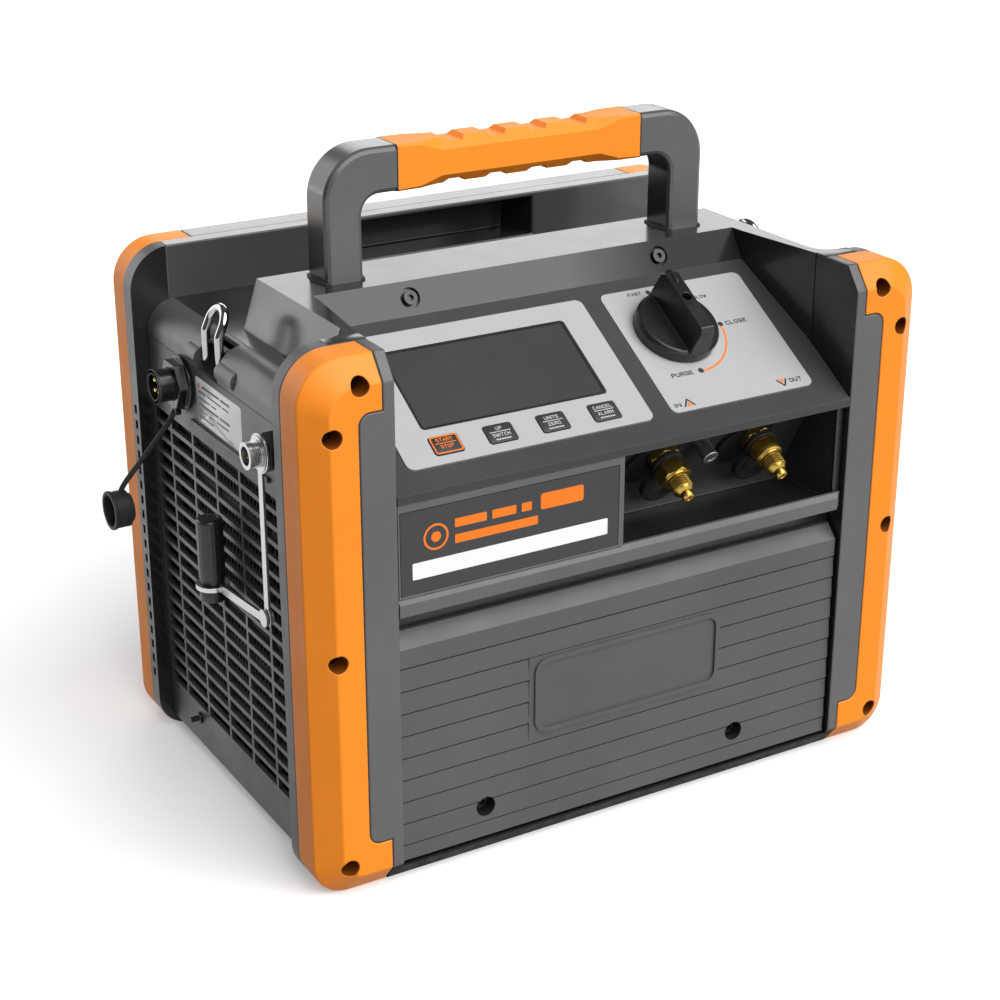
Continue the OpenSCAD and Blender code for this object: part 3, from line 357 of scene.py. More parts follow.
def shaded_pocket(mat, mid, half):
    """Painted shade inside a box-shaped pocket: the moulding's colour is darkened there (centre and half sizes in mm).
    """
    m = open_mat(mat)
    v = m.t.nodes.new("ShaderNodeVectorMath")
    v.operation = "SUBTRACT"
    m.link(m.t.nodes.new("ShaderNodeTexCoord").outputs["Object"], v.inputs[0])
    v.inputs[1].default_value = tuple(k * MM for k in mid)
    w = m.t.nodes.new("ShaderNodeVectorMath")
    w.operation = "ABSOLUTE"
    m.link(v.outputs[0], w.inputs[0])
    u = m.t.nodes.new("ShaderNodeVectorMath")
    u.operation = "DIVIDE"
    m.link(w.outputs[0], u.inputs[0])
    u.inputs[1].default_value = tuple(k * MM for k in half)
    sep = m.t.nodes.new("ShaderNodeSeparateXYZ")
    m.link(u.outputs[0], sep.inputs[0])
    far = sep.outputs["X"]
    for k in "YZ":
        n = m.t.nodes.new("ShaderNodeMath")
        n.operation = "MAXIMUM"
        m.link(far, n.inputs[0])
        m.link(sep.outputs[k], n.inputs[1])
        far = n.outputs[0]
    f = m.span(far, 1.0, 0.97, 0.0, 1.0)
    base = m.b.inputs["Base Color"].links[0].from_socket
    m.put("Base Color", m.mix(f, base, (0.25, 0.25, 0.25), "MULTIPLY"))
    return mat


M_grey = plastic("grey_moulding", lin(88, 88, 89), 0.44, grain=1100, strength=0.16, edge=0.30)
M_front = plastic("grey_front_moulding", lin(76, 76, 77), 0.44, grain=1100, strength=0.16, edge=0.30)
# painted shade in the front panel's two screw wells
painted_shade_wells(M_front, ((-83, 21), (68.5, 21)), 5.2, both=False)
M_side = plastic("grey_side_moulding", lin(80, 80, 81), 0.34, grain=1200, strength=0.14, edge=0.35)
M_panel = plastic("grey_grille_moulding", lin(70, 70, 71), 0.36, grain=1200, strength=0.14, edge=0.35)
# painted shade: the inner faces of the front posts, towards the port bay, are darkened
M_post_l = paint_light_shade_by_facing(plastic("grey_post_moulding_left", lin(88, 88, 89), 0.44, grain=1100, strength=0.16, edge=0.30), (1, 0, 0), 0.16, 0.18)
M_post_r = paint_light_shade_by_facing(plastic("grey_post_moulding_right", lin(88, 88, 89), 0.44, grain=1100, strength=0.16, edge=0.30), (-1, 0, 0), 0.16, 0.18)
# painted shade: the forward-facing faces of the rear frame are darkened
M_ring = paint_light_shade_by_facing(plastic("grey_ring_moulding", lin(88, 88, 89), 0.42, grain=1100, strength=0.12, edge=0.30), (0, -1, 0), 0.18, 0.22)
# painted shade in the pocket of the rear top cover
M_rear = shaded_pocket(plastic("rear_satin_moulding", lin(72, 72, 73), 0.20, grain=1500, depth=0.00003, strength=0.06, edge=0.35, rspan=0.04), (0.0, 98.5, 254.0 + LIFT), (67.0, 11.4, 12.6))
M_nut = plastic("nut_moulding", lin(58, 58, 59), 0.36, grain=1300, strength=0.10, edge=0.45, edge_r=0.0005)
M_coil = plastic("coated_fins", lin(22, 22, 23), 0.55, grain=900, strength=0.20, edge=0.0, spec=0.3)
M_dark = plastic("dark_satin_moulding", lin(38, 38, 39), 0.20, grain=1500, depth=0.00003, strength=0.06, edge=0.35, spec=0.5, rspan=0.04)
# painted light: faces that look along the sloped control panel are made three times lighter
paint_light_shade_by_facing(M_dark, (0, -sin(rad(31)), cos(rad(31))), 3.0, 0.0, 0.94, 0.985)
dull(M_dark, (0, -cos(rad(30)), sin(rad(30))), 0.10, 0.955, 0.985, 15.0, 75.0)
# painted shade: the post faces that look forwards and down are darkened
SILL = (0, -0.795, -0.606)
for k in (M_post_l, M_post_r):
    paint_light_shade_by_facing(k, SILL, 0.30, 0.0, 0.90, 0.97)
    dull(k, SILL, 0.08, 0.90, 0.97)
M_handle = plastic("handle_satin_moulding", lin(86, 86, 87), 0.28, grain=1300, depth=0.00003, strength=0.08, edge=0.30, rspan=0.05)
# painted shade: the left- and right-facing faces of the handle are darkened
paint_light_shade_by_facing(M_handle, (-1, 0, 0), 0.20, 0.08, 0.70, 1.0)
paint_light_shade_by_facing(M_handle, (1, 0, 0), 0.20, 0.08, 0.70, 1.0)
M_black = plastic("black_moulding", lin(30, 30, 31), 0.32, grain=1300, strength=0.12, edge=0.45)
# painted shade: the bay's upward faces are darkened
M_bay = paint_light_shade_by_facing(plastic("bay_black_moulding", lin(60, 60, 61), 0.30, grain=1300, strength=0.08, edge=0.35), (0, 0, 1), 0.32, 0.10)
# painted shade at the right-hand end of the port bay
shaded_pocket(M_bay, (128.3, -116.0, 166.5 + LIFT), (2.5, 1.6, 30.0))
M_socket = plastic("socket_moulding", lin(20, 20, 21), 0.24, grain=1300, strength=0.10, edge=0.50)
M_knob = plastic("knob_moulding", lin(27, 27, 28), 0.30, grain=1400, strength=0.08, edge=0.55, edge_r=0.0005)
M_orange = plastic("orange_elastomer", (0.96, 0.275, 0.016), 0.50, grain=1000, strength=0.18, var=0.04, edge=0.12, edge_r=0.0009, rspan=0.07, spec=0.35, scuff=0.06)
# painted shade in the bumpers' screw wells
painted_shade_wells(M_orange, ((147.5, 253.6), (161.5, 231.5), (162, 121), (159.5, 11)), 4.3)
M_grip = plastic("orange_soft_grip", (0.96, 0.275, 0.016), 0.56, grain=1300, strength=0.25, var=0.04, edge=0.12, edge_r=0.0007, rspan=0.06, spec=0.35)
M_rubber = plastic("black_rubber", lin(34, 34, 35), 0.62, grain=800, strength=0.30, var=0.14, edge=0.25, spec=0.35)
M_key = plastic("key_face", lin(46, 46, 48), 0.48, grain=1700, strength=0.12, edge=0.30, edge_r=0.0004)
M_plate = plastic("pale_plate", lin(176, 176, 177), 0.42, grain=1700, depth=0.00003, strength=0.10, var=0.02, edge=0.0, rspan=0.07)
M_info = plastic("info_plate_film", lin(43, 43, 45), 0.38, grain=1500, depth=0.00003, strength=0.10, edge=0.25, edge_r=0.0004)
M_label = plastic("label_film", lin(253, 253, 252), 0.34, coat=1.0, coat_rough=0.08, spec=0.7, grain=1200, depth=0.00003, strength=0.12, var=0.02, edge=0.0)
M_ink_orange = ink("ink_orange", (0.90, 0.20, 0.008))
M_ink_dark = ink("ink_dark", lin(46, 46, 48))
M_ink_pale = ink("ink_pale", lin(196, 196, 198))
M_ink_white = ink("ink_white", lin(246, 246, 246), mottle=0.012)
M_ink_label = ink("ink_label", lin(84, 84, 86))
M_brass = metal("brass", (0.52, 0.345, 0.075), 0.30, (1, 1, 1), grime=0.12, dark=0.75, bump=0.03, rs=0.05)
M_gold = metal("gold_contact", (0.83, 0.60, 0.20), 0.20, (1, 1, 1), grime=0.10)
M_chrome = metal("chrome", (0.42, 0.42, 0.43), 0.08, (1, 1, 1), grime=0.06, dark=0.85, bump=0.02, rs=0.03)
M_plated = metal("plated_steel", (0.52, 0.52, 0.53), 0.30, (1, 1, 1), grime=0.05, dark=0.90, bump=0.02, rs=0.04)
M_steel = metal("turned_steel", (0.56, 0.56, 0.57), 0.30, (8, 1, 1), grime=0.12)
M_blacksteel = metal("black_oxide_steel", (0.055, 0.055, 0.058), 0.36, (1, 1, 1), grime=0.25, dark=0.5)
M_alu = metal("cast_aluminium", (0.60, 0.61, 0.62), 0.45, (1, 1, 1), grime=0.18, dark=0.6, bump=0.25)
M_fin = metal("fin_aluminium", (0.56, 0.57, 0.58), 0.38, (1, 9, 1), grime=0.15)
M_copper = metal("copper_tube", (0.66, 0.33, 0.19), 0.30, (1, 1, 1), grime=0.25, dark=0.5)


def paint(name, col, rough):
    m = Mat(name)
    n = m.noise(30, 4, 0.6)
    m.put("Base Color", m.ramp(n, (0.3, shade(col, 0.88)), (0.7, shade(col, 1.1))))
    m.put("Roughness", m.span(m.noise(140, 3), 0.3, 0.7, rough - 0.08, rough + 0.10))
    m.put("Normal", m.bump(m.noise(520, 3, 0.6), 0.35, 0.00012))
    return m.m


M_pan = paint("powder_coated_pan", lin(17, 17, 18), 0.50)
M_pan.node_tree.nodes["Principled BSDF"].inputs["Specular IOR Level"].default_value = 0.08


def board(name):
    m = Mat(name)
    n = m.noise(130, 2, 0.4, (1, 1, 1))
    tracks = m.cells(220)
    c = m.ramp(n, (0.40, (0.010, 0.075, 0.028)), (0.60, (0.022, 0.14, 0.05)))
    c = m.mix(m.span(tracks, 0.0, 0.18, 0.55, 0.0), c, (0.30, 0.34, 0.20))
    m.put("Base Color", c)
    m.put("Roughness", m.span(tracks, 0.0, 0.4, 0.25, 0.48))
    m.put("Normal", m.bump(tracks, 0.2, 0.0001))
    return m.m


M_board = board("circuit_board")


def screen(name):
    """Dark display film under a hard clear window."""
    m = Mat(name)
    rows = m.noise(9, 2, 0.4)
    dots = m.cells(1600)
    c = m.ramp(rows, (0.3, lin(56, 56, 57)), (0.7, lin(63, 63, 64)))
    c = m.mix(m.span(dots, 0.0, 0.5, 0.12, 0.0), c, lin(46, 46, 47))
    m.put("Base Color", c)
    m.put("Roughness", m.span(m.noise(60, 4), 0.3, 0.7, 0.34, 0.46))
    m.put("Specular IOR Level", 0.25)
    m.put("Normal", m.bump(m.noise(700, 2), 0.04, 0.00003))
    return m.m


M_screen = screen("display_window")

# ------------------------------------------------------------------ mesh code


def ring2(outline, w):
    """Outline moved inwards by w (for nearly convex outlines)."""
    n, out = len(outline), []
    for i in range(n):
        a, b, c = (Vector(outline[(i + k) % n]) for k in (-1, 0, 1))
        d0, d1 = (b - a).normalized(), (c - b).normalized()
        n0, n1 = Vector((-d0.y, d0.x)), Vector((-d1.y, d1.x))
        h = n0 + n1
        k = h.dot(h)
        off = h * (2 * w / k) if k > 1e-9 else n0 * w
        out.append(tuple(b + off))
    return out


def rrect(w, l, r, cx=0.0, cy=0.0, n=6):
    out = []
    for qx, qy, a0 in ((1, -1, -90), (1, 1, 0), (-1, 1, 90), (-1, -1, 180)):
        for i in range(n + 1):
            a = rad(a0 + 90 * i / n)
            out.append((cx + qx * (w / 2 - r) + r * cos(a), cy + qy * (l / 2 - r) + r * sin(a)))
    return out


def circle(r, cx=0.0, cy=0.0, n=32):
    return [(cx + r * cos(2 * pi * i / n), cy + r * sin(2 * pi * i / n)) for i in range(n)]


def arc_stroke(r, w, a0, a1, cx=0.0, cy=0.0, n=40):
    o = [(cx + (r + w / 2) * cos(rad(a0 + (a1 - a0) * i / n)), cy + (r + w / 2) * sin(rad(a0 + (a1 - a0) * i / n))) for i in range(n + 1)]
    i_ = [(cx + (r - w / 2) * cos(rad(a0 + (a1 - a0) * i / n)), cy + (r - w / 2) * sin(rad(a0 + (a1 - a0) * i / n))) for i in range(n + 1)]
    return o + i_[::-1]


class Build:
    """Collects closed shells given in millimetres and a placing matrix."""

    def __init__(self):
        self.v, self.f = [], []

    def pts(self, ps, m):
        i0 = len(self.v)
        self.v += [m @ (Vector(p) * MM) for p in ps]
        return i0

    def loops(self, rings, m, close=True, caps=True):
        """Closed rings of equal length, one after the other."""
        n = len(rings[0])
        i0 = self.pts([p for r in rings for p in r], m)
        for k in range(len(rings) - 1):
            for j in range(n):
                a, b = i0 + k * n + j, i0 + k * n + (j + 1) % n
                self.f.append((a, b, b + n, a + n))
        if caps:
            self.f.append(tuple(i0 + j for j in range(n))[::-1])
            e = i0 + (len(rings) - 1) * n
            self.f.append(tuple(e + j for j in range(n)))

    def prism(self, out, z0, z1, m, bevel=0.0):
        """An outline raised from z0 to z1, with its upper edge broken by bevel."""
        rings = [[(x, y, z0) for x, y in out]]
        if bevel:
            rings += [[(x, y, z1 - bevel) for x, y in out], [(x, y, z1 - bevel * 0.3) for x, y in ring2(out, bevel * 0.3)], [(x, y, z1) for x, y in ring2(out, bevel)]]
        else:
            rings += [[(x, y, z1) for x, y in out]]
        self.loops(rings, m)

    def frame(self, out, inn, z0, z1, m):
        """Closed band between two outlines of equal length."""
        n = len(out)
        i0 = self.pts([(x, y, z0) for x, y in out] + [(x, y, z1) for x, y in out] + [(x, y, z1) for x, y in inn] + [(x, y, z0) for x, y in inn], m)
        for k in range(4):
            for j in range(n):
                a, b = i0 + k * n + j, i0 + k * n + (j + 1) % n
                c, d = i0 + ((k + 1) % 4) * n + (j + 1) % n, i0 + ((k + 1) % 4) * n + j
                self.f.append((a, b, c, d))

    def lathe(self, prof, m, n=48, shape=None):
        """Profile of (radius, height), from the bottom axis point to the top one."""
        rings = []
        for r, h in prof:
            rings.append([(shape(r, h, 2 * pi * j / n) if shape else r) * Vector((cos(2 * pi * j / n), sin(2 * pi * j / n), 0)) + Vector((0, 0, h)) for j in range(n)])
        self.loops(rings, m)

    def torus_lathe(self, prof, m, n=48):
        """Closed profile (a ring that doesn't reach the axis)."""
        k = len(prof)
        i0 = self.pts([(r * cos(2 * pi * j / n), r * sin(2 * pi * j / n), h) for r, h in prof for j in range(n)], m)
        for a in range(k):
            for j in range(n):
                b = (a + 1) % k
                self.f.append((i0 + a * n + j, i0 + a * n + (j + 1) % n, i0 + b * n + (j + 1) % n, i0 + b * n + j))

    def tube(self, path, r, m=Matrix.Identity(4), n=20):
        """Round bar along a path in metres, with rounded ends."""
        p = [Vector(q) for q in path]
        t = [(p[min(i + 1, len(p) - 1)] - p[max(i - 1, 0)]).normalized() for i in range(len(p))]
        u = t[0].orthogonal().normalized()
        rings = []
        for i, q in enumerate(p):
            u = (u - t[i] * u.dot(t[i])).normalized()
            w = t[i].cross(u)
            rings.append([(q + (u * cos(2 * pi * j / n) + w * sin(2 * pi * j / n)) * r * MM) / MM for j in range(n)])
        ends = []
        for k, s in ((0, -1), (-1, 1)):
            c = p[k]
            ring = [Vector(x) * MM - c for x in rings[k]]
            ends.append([[((c + x * cos(a) + t[k] * s * r * MM * 0.6 * sin(a)) / MM) for x in ring] for a in (rad(35), rad(65), rad(82))])
        self.loops(ends[0][::-1] + rings + ends[1], m)

    def hexnut(self, r, h0, h1, m, turn=0.0, ch=0.9, hole=0.0, n=72):
        """Hexagon with the corners turned off at both ends, as a bar-stock nut has them."""
        def rad_at(a, d):
            k = (a + turn) % (pi / 3) - pi / 6
            flat = r * cos(pi / 6) / cos(k)
            return min(flat, r * cos(pi / 6) + 0.02 + d * 1.75)
        hs = [0.0, 0.25, 0.5, 0.8, 1.1]
        hs = [x for x in hs if x < (h1 - h0) / 2]
        levels = [(h0 + x, x) for x in hs] + [(h1 - x, x) for x in hs[::-1]]
        rings = [[(rad_at(2 * pi * j / n, d) * cos(2 * pi * j / n), rad_at(2 * pi * j / n, d) * sin(2 * pi * j / n), h) for j in range(n)] for h, d in levels]
        if hole:
            n0 = len(rings[0])
            i0 = self.pts([p for q in rings for p in q] + [(hole * cos(2 * pi * j / n), hole * sin(2 * pi * j / n), h) for h in (h1, h0) for j in range(n)], m)
            k = len(rings) + 2
            for a in range(k):
                for j in range(n0):
                    b = (a + 1) % k
                    self.f.append((i0 + a * n0 + j, i0 + a * n0 + (j + 1) % n0, i0 + b * n0 + (j + 1) % n0, i0 + b * n0 + j))
        else:
            self.loops(rings, m)

    def socket_head(self, r, h0, h1, m, hexr, deep, n=48):
        """Cap screw head with a hexagon socket."""
        def hx(a):
            return hexr * cos(pi / 6) / cos(a % (pi / 3) - pi / 6)
        ang = [2 * pi * j / n for j in range(n)]
        ring = lambda q, h: [(q * cos(a), q * sin(a), h) for a in ang]
        hexring = lambda h, k=1.0: [(hx(a) * k * cos(a), hx(a) * k * sin(a), h) for a in ang]
        self.loops([ring(r, h0), ring(r, h1 - 0.35), ring(r - 0.12, h1 - 0.12), ring(r - 0.4, h1), hexring(h1, 1.08), hexring(h1 - 0.15), hexring(h1 - deep), hexring(h1 - deep - 0.3, 0.3)], m)

    def obj(self, name, mat, body, smooth=35, bevel=0.0, seg=2):
        me = bpy.data.meshes.new(name)
        me.from_pydata([tuple(p) for p in self.v], [], self.f)
        bm = bmesh.new()
        bm.from_mesh(me)
        bmesh.ops.recalc_face_normals(bm, faces=bm.faces)
        bm.to_mesh(me)
        bm.free()
        me.materials.append(mat)
        if smooth:
            me.shade_smooth()
            me.set_sharp_from_angle(angle=rad(smooth))
        o = bpy.data.objects.new(name, me)
        bpy.context.scene.collection.objects.link(o)
        if bevel:
            b = o.modifiers.new("round", "BEVEL")
            b.width, b.segments, b.limit_method, b.angle_limit = bevel * MM, seg, "ANGLE", rad(30)
            b.use_clamp_overlap = True
        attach(o, body)
        return o


def fillet(path, radius, n=6):
    """Points of a path with its corners rounded."""
    p = [Vector(q) for q in path]
    out = [p[0]]
    for i in range(1, len(p) - 1):
        a, b, c = p[i - 1], p[i], p[i + 1]
        d0, d1 = (a - b).normalized(), (c - b).normalized()
        ang = d0.angle(d1)
        if pi - ang < 0.02:
            out.append(b)
            continue
        t = min(radius / math.tan(ang / 2), (a - b).length * 0.49, (c - b).length * 0.49)
        q0, q1 = b + d0 * t, b + d1 * t
        for k in range(n + 1):
            s = k / n
            out.append(q0 * (1 - s) ** 2 + b * 2 * s * (1 - s) + q1 * s ** 2)
    out.append(p[-1])
    return out


def smooth_line(pts, n):
    """n points on a smooth curve through the given ones, evenly spaced."""
    p = [Vector(q) for q in pts]
    p = [p[0] * 2 - p[1]] + p + [p[-1] * 2 - p[-2]]
    fine = []
    for i in range(1, len(p) - 2):
        for k in range(24):
            s = k / 24
            a, b, c, d = p[i - 1], p[i], p[i + 1], p[i + 2]
            fine.append(0.5 * ((2 * b) + (c - a) * s + (2 * a - 5 * b + 4 * c - d) * s ** 2 + (3 * b - a - 3 * c + d) * s ** 3))
    fine.append(p[-2])
    acc = [0.0]
    for a, b in zip(fine, fine[1:]):
        acc.append(acc[-1] + (b - a).length)
    out, j = [], 0
    for i in range(n):
        want = acc[-1] * i / (n - 1)
        while j < len(acc) - 2 and acc[j + 1] < want:
            j += 1
        s = (want - acc[j]) / max(acc[j + 1] - acc[j], 1e-12)
        out.append(fine[j].lerp(fine[j + 1], min(max(s, 0), 1)))
    return out


# ------------------------------------------------------------------ the free cord
tether_pts = [(-171, 163, 197.5), (-174, 163, 192), (-179, 164, 185), (-185, 166, 177),
              (-191, 168, 169), (-196, 170, 162), (-199, 171.5, 157), (-200.5, 172, 153.5)]
line = smooth_line([P(*q) for q in tether_pts], 34)
cu = bpy.data.curves.new("cap_tether_strap", "CURVE")
cu.dimensions = "3D"
sp = cu.splines.new("POLY")
sp.points.add(len(line) - 1)
for k, q in zip(sp.points, line):
    k.co = (*q, 1)
cu.bevel_depth = 1.4 * MM
cu.bevel_resolution = 5
cu.use_fill_caps = True
cu.materials.append(M_rubber)
tether = bpy.data.objects.new("cap_tether_strap", cu)
bpy.context.scene.collection.objects.link(tether)
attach(tether, "housing")
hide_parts("cap_tether")

# ------------------------------------------------------------------ CAD nodes


def tree_of(me):
    me.calc_loop_triangles()
    v = [p.co.copy() for p in me.vertices]
    t = [tuple(k.vertices) for k in me.loop_triangles]
    return BVHTree.FromPolygons(v, t), v, t


def fits(o, base, width):
    """True when the rounded mesh keeps to the solid it was made from."""
    dg = bpy.context.evaluated_depsgraph_get()
    ev = o.evaluated_get(dg)
    me = ev.to_mesh()
    tree, v, t = tree_of(me)
    bt, bv, btri = base
    ok = bool(t)
    for q in v:
        hit = bt.find_nearest(q)
        if hit[0] is None or hit[3] > 0.9 * width:
            ok = False
            break
    if ok:
        for k in btri:
            if (bv[k[1]] - bv[k[0]]).cross(bv[k[2]] - bv[k[0]]).length < 2e-9:
                continue
            c = (bv[k[0]] + bv[k[1]] + bv[k[2]]) / 3
            hit = tree.find_nearest(c)
            n = (bv[k[1]] - bv[k[0]]).cross(bv[k[2]] - bv[k[0]]).normalized()
            if hit[0] is None or hit[3] > 1.1 * width or (hit[3] < 1e-5 and hit[1].dot(n) < 0.2):
                ok = False
                break
    ev.to_mesh_clear()
    return ok


def dress(name, mat, bevel=0.0, seg=2, angle=32):
    """Material for a CAD node; bevel rounds its sharp edges in shown geometry."""
    o = N[name]
    me = o.data
    me.materials.clear()
    me.materials.append(mat)
    if not bevel:
        return
    base = tree_of(me)
    for k, flat in ((1.0, 0.05), (1.0, 0.0), (0.6, 0.05), (0.6, 0.0), (0.35, 0.05), (0.35, 0.0)):
        w = o.modifiers.new("weld", "WELD")
        w.merge_threshold = 4e-6
        if flat:
            d = o.modifiers.new("planes", "DECIMATE")
            d.decimate_type = "DISSOLVE"
            d.angle_limit = rad(flat)
        b = o.modifiers.new("round", "BEVEL")
        b.width, b.segments, b.limit_method, b.angle_limit = bevel * k * MM, seg, "ANGLE", rad(angle)
        b.use_clamp_overlap = False
        if fits(o, base, bevel * k * MM):
            if "custom_normal" in me.attributes:
                me.attributes.remove(me.attributes["custom_normal"])
            me.shade_smooth()
            n = o.modifiers.new("normals", "WEIGHTED_NORMAL")
            n.weight = 60
            n.keep_sharp = True
            print("rounded", name, round(bevel * k, 2), flat)
            return
        o.modifiers.clear()
    print("left sharp", name)


for name, mat, bevel, seg in (
    ("front_post_left", M_post_l, 0.8, 3), ("front_post_right", M_post_r, 0.8, 3),
    ("front_panel", M_front, 0.3, 2), ("front_shelf", M_grey, 0.5, 2), ("info_frame", M_grey, 0.4, 2),
    ("rear_frame", M_ring, 0.4, 2), ("rear_panel", M_grey, 0.4, 2),
    ("left_side_panel", M_panel, 0.0, 1), ("right_side_panel", M_panel, 0.0, 1),
    ("left_shoulder", M_side, 0.0, 1), ("right_shoulder", M_side, 0.0, 1),
    ("front_cowl", M_dark, 0.8, 2), ("top_cover", M_dark, 0.4, 2), ("rear_top_cover", M_rear, 0.9, 3),
    ("bumper_front_left", M_orange, 0.8, 3), ("bumper_front_right", M_orange, 0.8, 3),
    ("bumper_rear_left", M_orange, 0.8, 3), ("bumper_rear_right", M_orange, 0.8, 3),
    ("handle_frame", M_handle, 0.0, 1), ("handle_grip", M_grip, 0.6, 2),
    ("port_bay", M_bay, 0.5, 2), ("port_pads", M_black, 0.6, 2),
    ("inlet_port", M_brass, 0.0, 1), ("outlet_port", M_brass, 0.0, 1), ("earth_stud", M_plated, 0.35, 2),
    ("display_bezel", M_plate, 0.25, 2), ("dial_plate", M_plate, 0.25, 2), ("lcd_window", M_screen, 0.0, 1),
    ("info_plate", M_info, 0.0, 1), ("control_board", M_board, 0.0, 1), ("power_board", M_board, 0.0, 1),
    ("selector_knob", M_knob, 0.7, 3), ("valve_stem", M_steel, 0.0, 1), ("valve_block", M_brass, 0.0, 1),
    ("cover_screws", M_blacksteel, 0.0, 1), ("bumper_screws", M_blacksteel, 0.0, 1),
    ("left_bail", M_chrome, 0.0, 1), ("right_bail", M_chrome, 0.0, 1), ("handle_bolts", M_steel, 0.0, 1),
    ("power_socket", M_socket, 0.3, 2), ("power_socket_nut", M_socket, 0.5, 2), ("dust_cap", M_rubber, 0.6, 3),
    ("cap_tether", M_rubber, 0.0, 1), ("sensor_socket", M_plated, 0.25, 2), ("sensor_socket_nut", M_nut, 0.4, 2),
    ("lanyard_upper", M_plated, 0.3, 2), ("lanyard_lower", M_plated, 0.3, 2), ("sensor_cap", M_black, 0.0, 1),
    ("side_pin", M_black, 0.3, 2), ("base_pan", M_pan, 0.5, 2), ("condenser_coil", M_coil, 0.0, 1),
    ("fan_housing", M_black, 0.0, 1), ("fan_rotor", M_black, 0.0, 1), ("compressor", M_alu, 0.0, 1),
    ("crankshaft", M_steel, 0.0, 1), ("refrigerant_lines", M_copper, 0.0, 1),
):
    dress(name, mat, bevel, seg)
for name in ("key_start", "key_up", "key_units", "key_cancel"):
    dress(name, M_key)

# ------------------------------------------------------------------ printed marks


def words(b, m, x0, y, h, widths, gap, z0, z1):
    """A row of short bars where the real part has small lettering."""
    x = x0
    for w in widths:
        b.prism(rrect(w, h, min(0.25 * h, 0.25 * w, 0.4), x + w / 2, y, n=3), z0, z1, m)
        x += w + gap
    return x


GLYPHS = {
    "A": (((0, 0), (2, 6), (4, 0)), ((0.8, 2.1), (3.2, 2.1))),
    "C": (((4, 5.1), (3.1, 6), (0.9, 6), (0, 5.1), (0, 0.9), (0.9, 0), (3.1, 0), (4, 0.9)),),
    "E": (((4, 6), (0, 6), (0, 0), (4, 0)), ((0, 3.1), (3.3, 3.1))),
    "F": (((4, 6), (0, 6), (0, 0)), ((0, 3.1), (3.3, 3.1))),
    "G": (((4, 5.1), (3.1, 6), (0.9, 6), (0, 5.1), (0, 0.9), (0.9, 0), (3.1, 0), (4, 0.9), (4, 2.9), (2.3, 2.9)),),
    "H": (((0, 0), (0, 6)), ((4, 0), (4, 6)), ((0, 3), (4, 3))),
    "I": (((0, 0), (0, 6)),),
    "L": (((0, 6), (0, 0), (3.7, 0)),),
    "M": (((0, 0), (0, 6), (2, 2.4), (4, 6), (4, 0)),),
    "N": (((0, 0), (0, 6), (4, 0), (4, 6)),),
    "O": (((0.9, 0), (0, 0.9), (0, 5.1), (0.9, 6), (3.1, 6), (4, 5.1), (4, 0.9), (3.1, 0), (0.9, 0)),),
    "P": (((0, 0), (0, 6), (3.2, 6), (4, 5.2), (4, 3.6), (3.2, 2.8), (0, 2.8)),),
    "R": (((0, 0), (0, 6), (3.2, 6), (4, 5.2), (4, 3.6), (3.2, 2.8), (0, 2.8)), ((2, 2.8), (4, 0))),
    "S": (((4, 5.2), (3.2, 6), (0.8, 6), (0, 5.2), (0, 3.9), (0.8, 3.1), (3.2, 2.9), (4, 2.1), (4, 0.8), (3.2, 0), (0.8, 0), (0, 0.8)),),
    "T": (((0, 6), (4, 6)), ((2, 6), (2, 0))),
    "U": (((0, 6), (0, 0.9), (0.9, 0), (3.1, 0), (4, 0.9), (4, 6)),),
    "W": (((0, 6), (1, 0), (2, 3.8), (3, 0), (4, 6)),),
    "Z": (((0, 6), (4, 6), (0, 0), (4, 0)),),
}


def letters(b, m, text, x0, y, h, total, t, z0, z1):
    """A plain word in single strokes of width t, its middle line at y, filling the length total."""
    wide = [0.0 if c == "I" else 4.0 for c in text]
    unit = (total - t - 0.0) / (sum(wide) + 2.0 * (len(text) - 1)) if len(text) > 1 else 0
    x, k = x0 + t / 2, 0
    for c, w in zip(text, wide):
        for line in GLYPHS[c]:
            pts = [(x + u * unit, y - h / 2 + t / 2 + v / 6 * (h - t)) for u, v in line]
            for (ax_, ay_), (bx_, by_) in zip(pts, pts[1:]):
                n = math.hypot(bx_ - ax_, by_ - ay_)
                dx, dy = (bx_ - ax_) / n * t / 2, (by_ - ay_) / n * t / 2
                k = (k + 1) % 5
                b.prism([(ax_ - 0.8 * dx + dy, ay_ - 0.8 * dy - dx), (bx_ + 0.8 * dx + dy, by_ + 0.8 * dy - dx),
                         (bx_ + 0.8 * dx - dy, by_ + 0.8 * dy + dx), (ax_ - 0.8 * dx - dy, ay_ - 0.8 * dy + dx)], z0, z1 + 0.002 * k, m)
        x += (w + 2.0) * unit


# information plate: ring, bars and a blank white strip
front = on_front(0, 0.9, 0)
b = Build()
b.frame(circle(6.6, -110.5, 174, 40), circle(5.5, -110.5, 174, 40), -0.1, 0.06, front)
b.prism(circle(2.6, -110.5, 174, 28), -0.1, 0.06, front)
words(b, front, -100.5, 178.6, 4.4, (17, 13, 5.5), 3.0, -0.1, 0.06)
b.prism(rrect(24, 8.2, 1.4, -42, 179.4), -0.1, 0.06, front)
words(b, front, -100.5, 170.6, 4.4, (45,), 2.6, -0.1, 0.06)
b.obj("info_marks", M_ink_orange, "housing")
b = Build()
b.prism(rrect(107, 8.4, 0.6, -69.5, 158.7), -0.1, 0.06, front)
b.obj("info_strip", M_ink_white, "housing")

# keys: caps with broken edges on round stems
for i, (node, body, slot) in enumerate((("key_start", "start_key", "orange_key"), ("key_up", "up_key", "grey_key"), ("key_units", "units_key", "grey_key"), ("key_cancel", "cancel_key", "grey_key"))):
    k = on_panel(-94.4 + i * 29.2, 22)
    b = Build()
    b.prism(rrect(15.2, 10.8, 1.5), -0.25, 1.1, k, 0.25)
    b.prism(circle(1.98, 0, 0, 40), -6.9, -0.15, k)
    o = b.obj(node + "_cap", M_key, body)
    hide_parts(node)
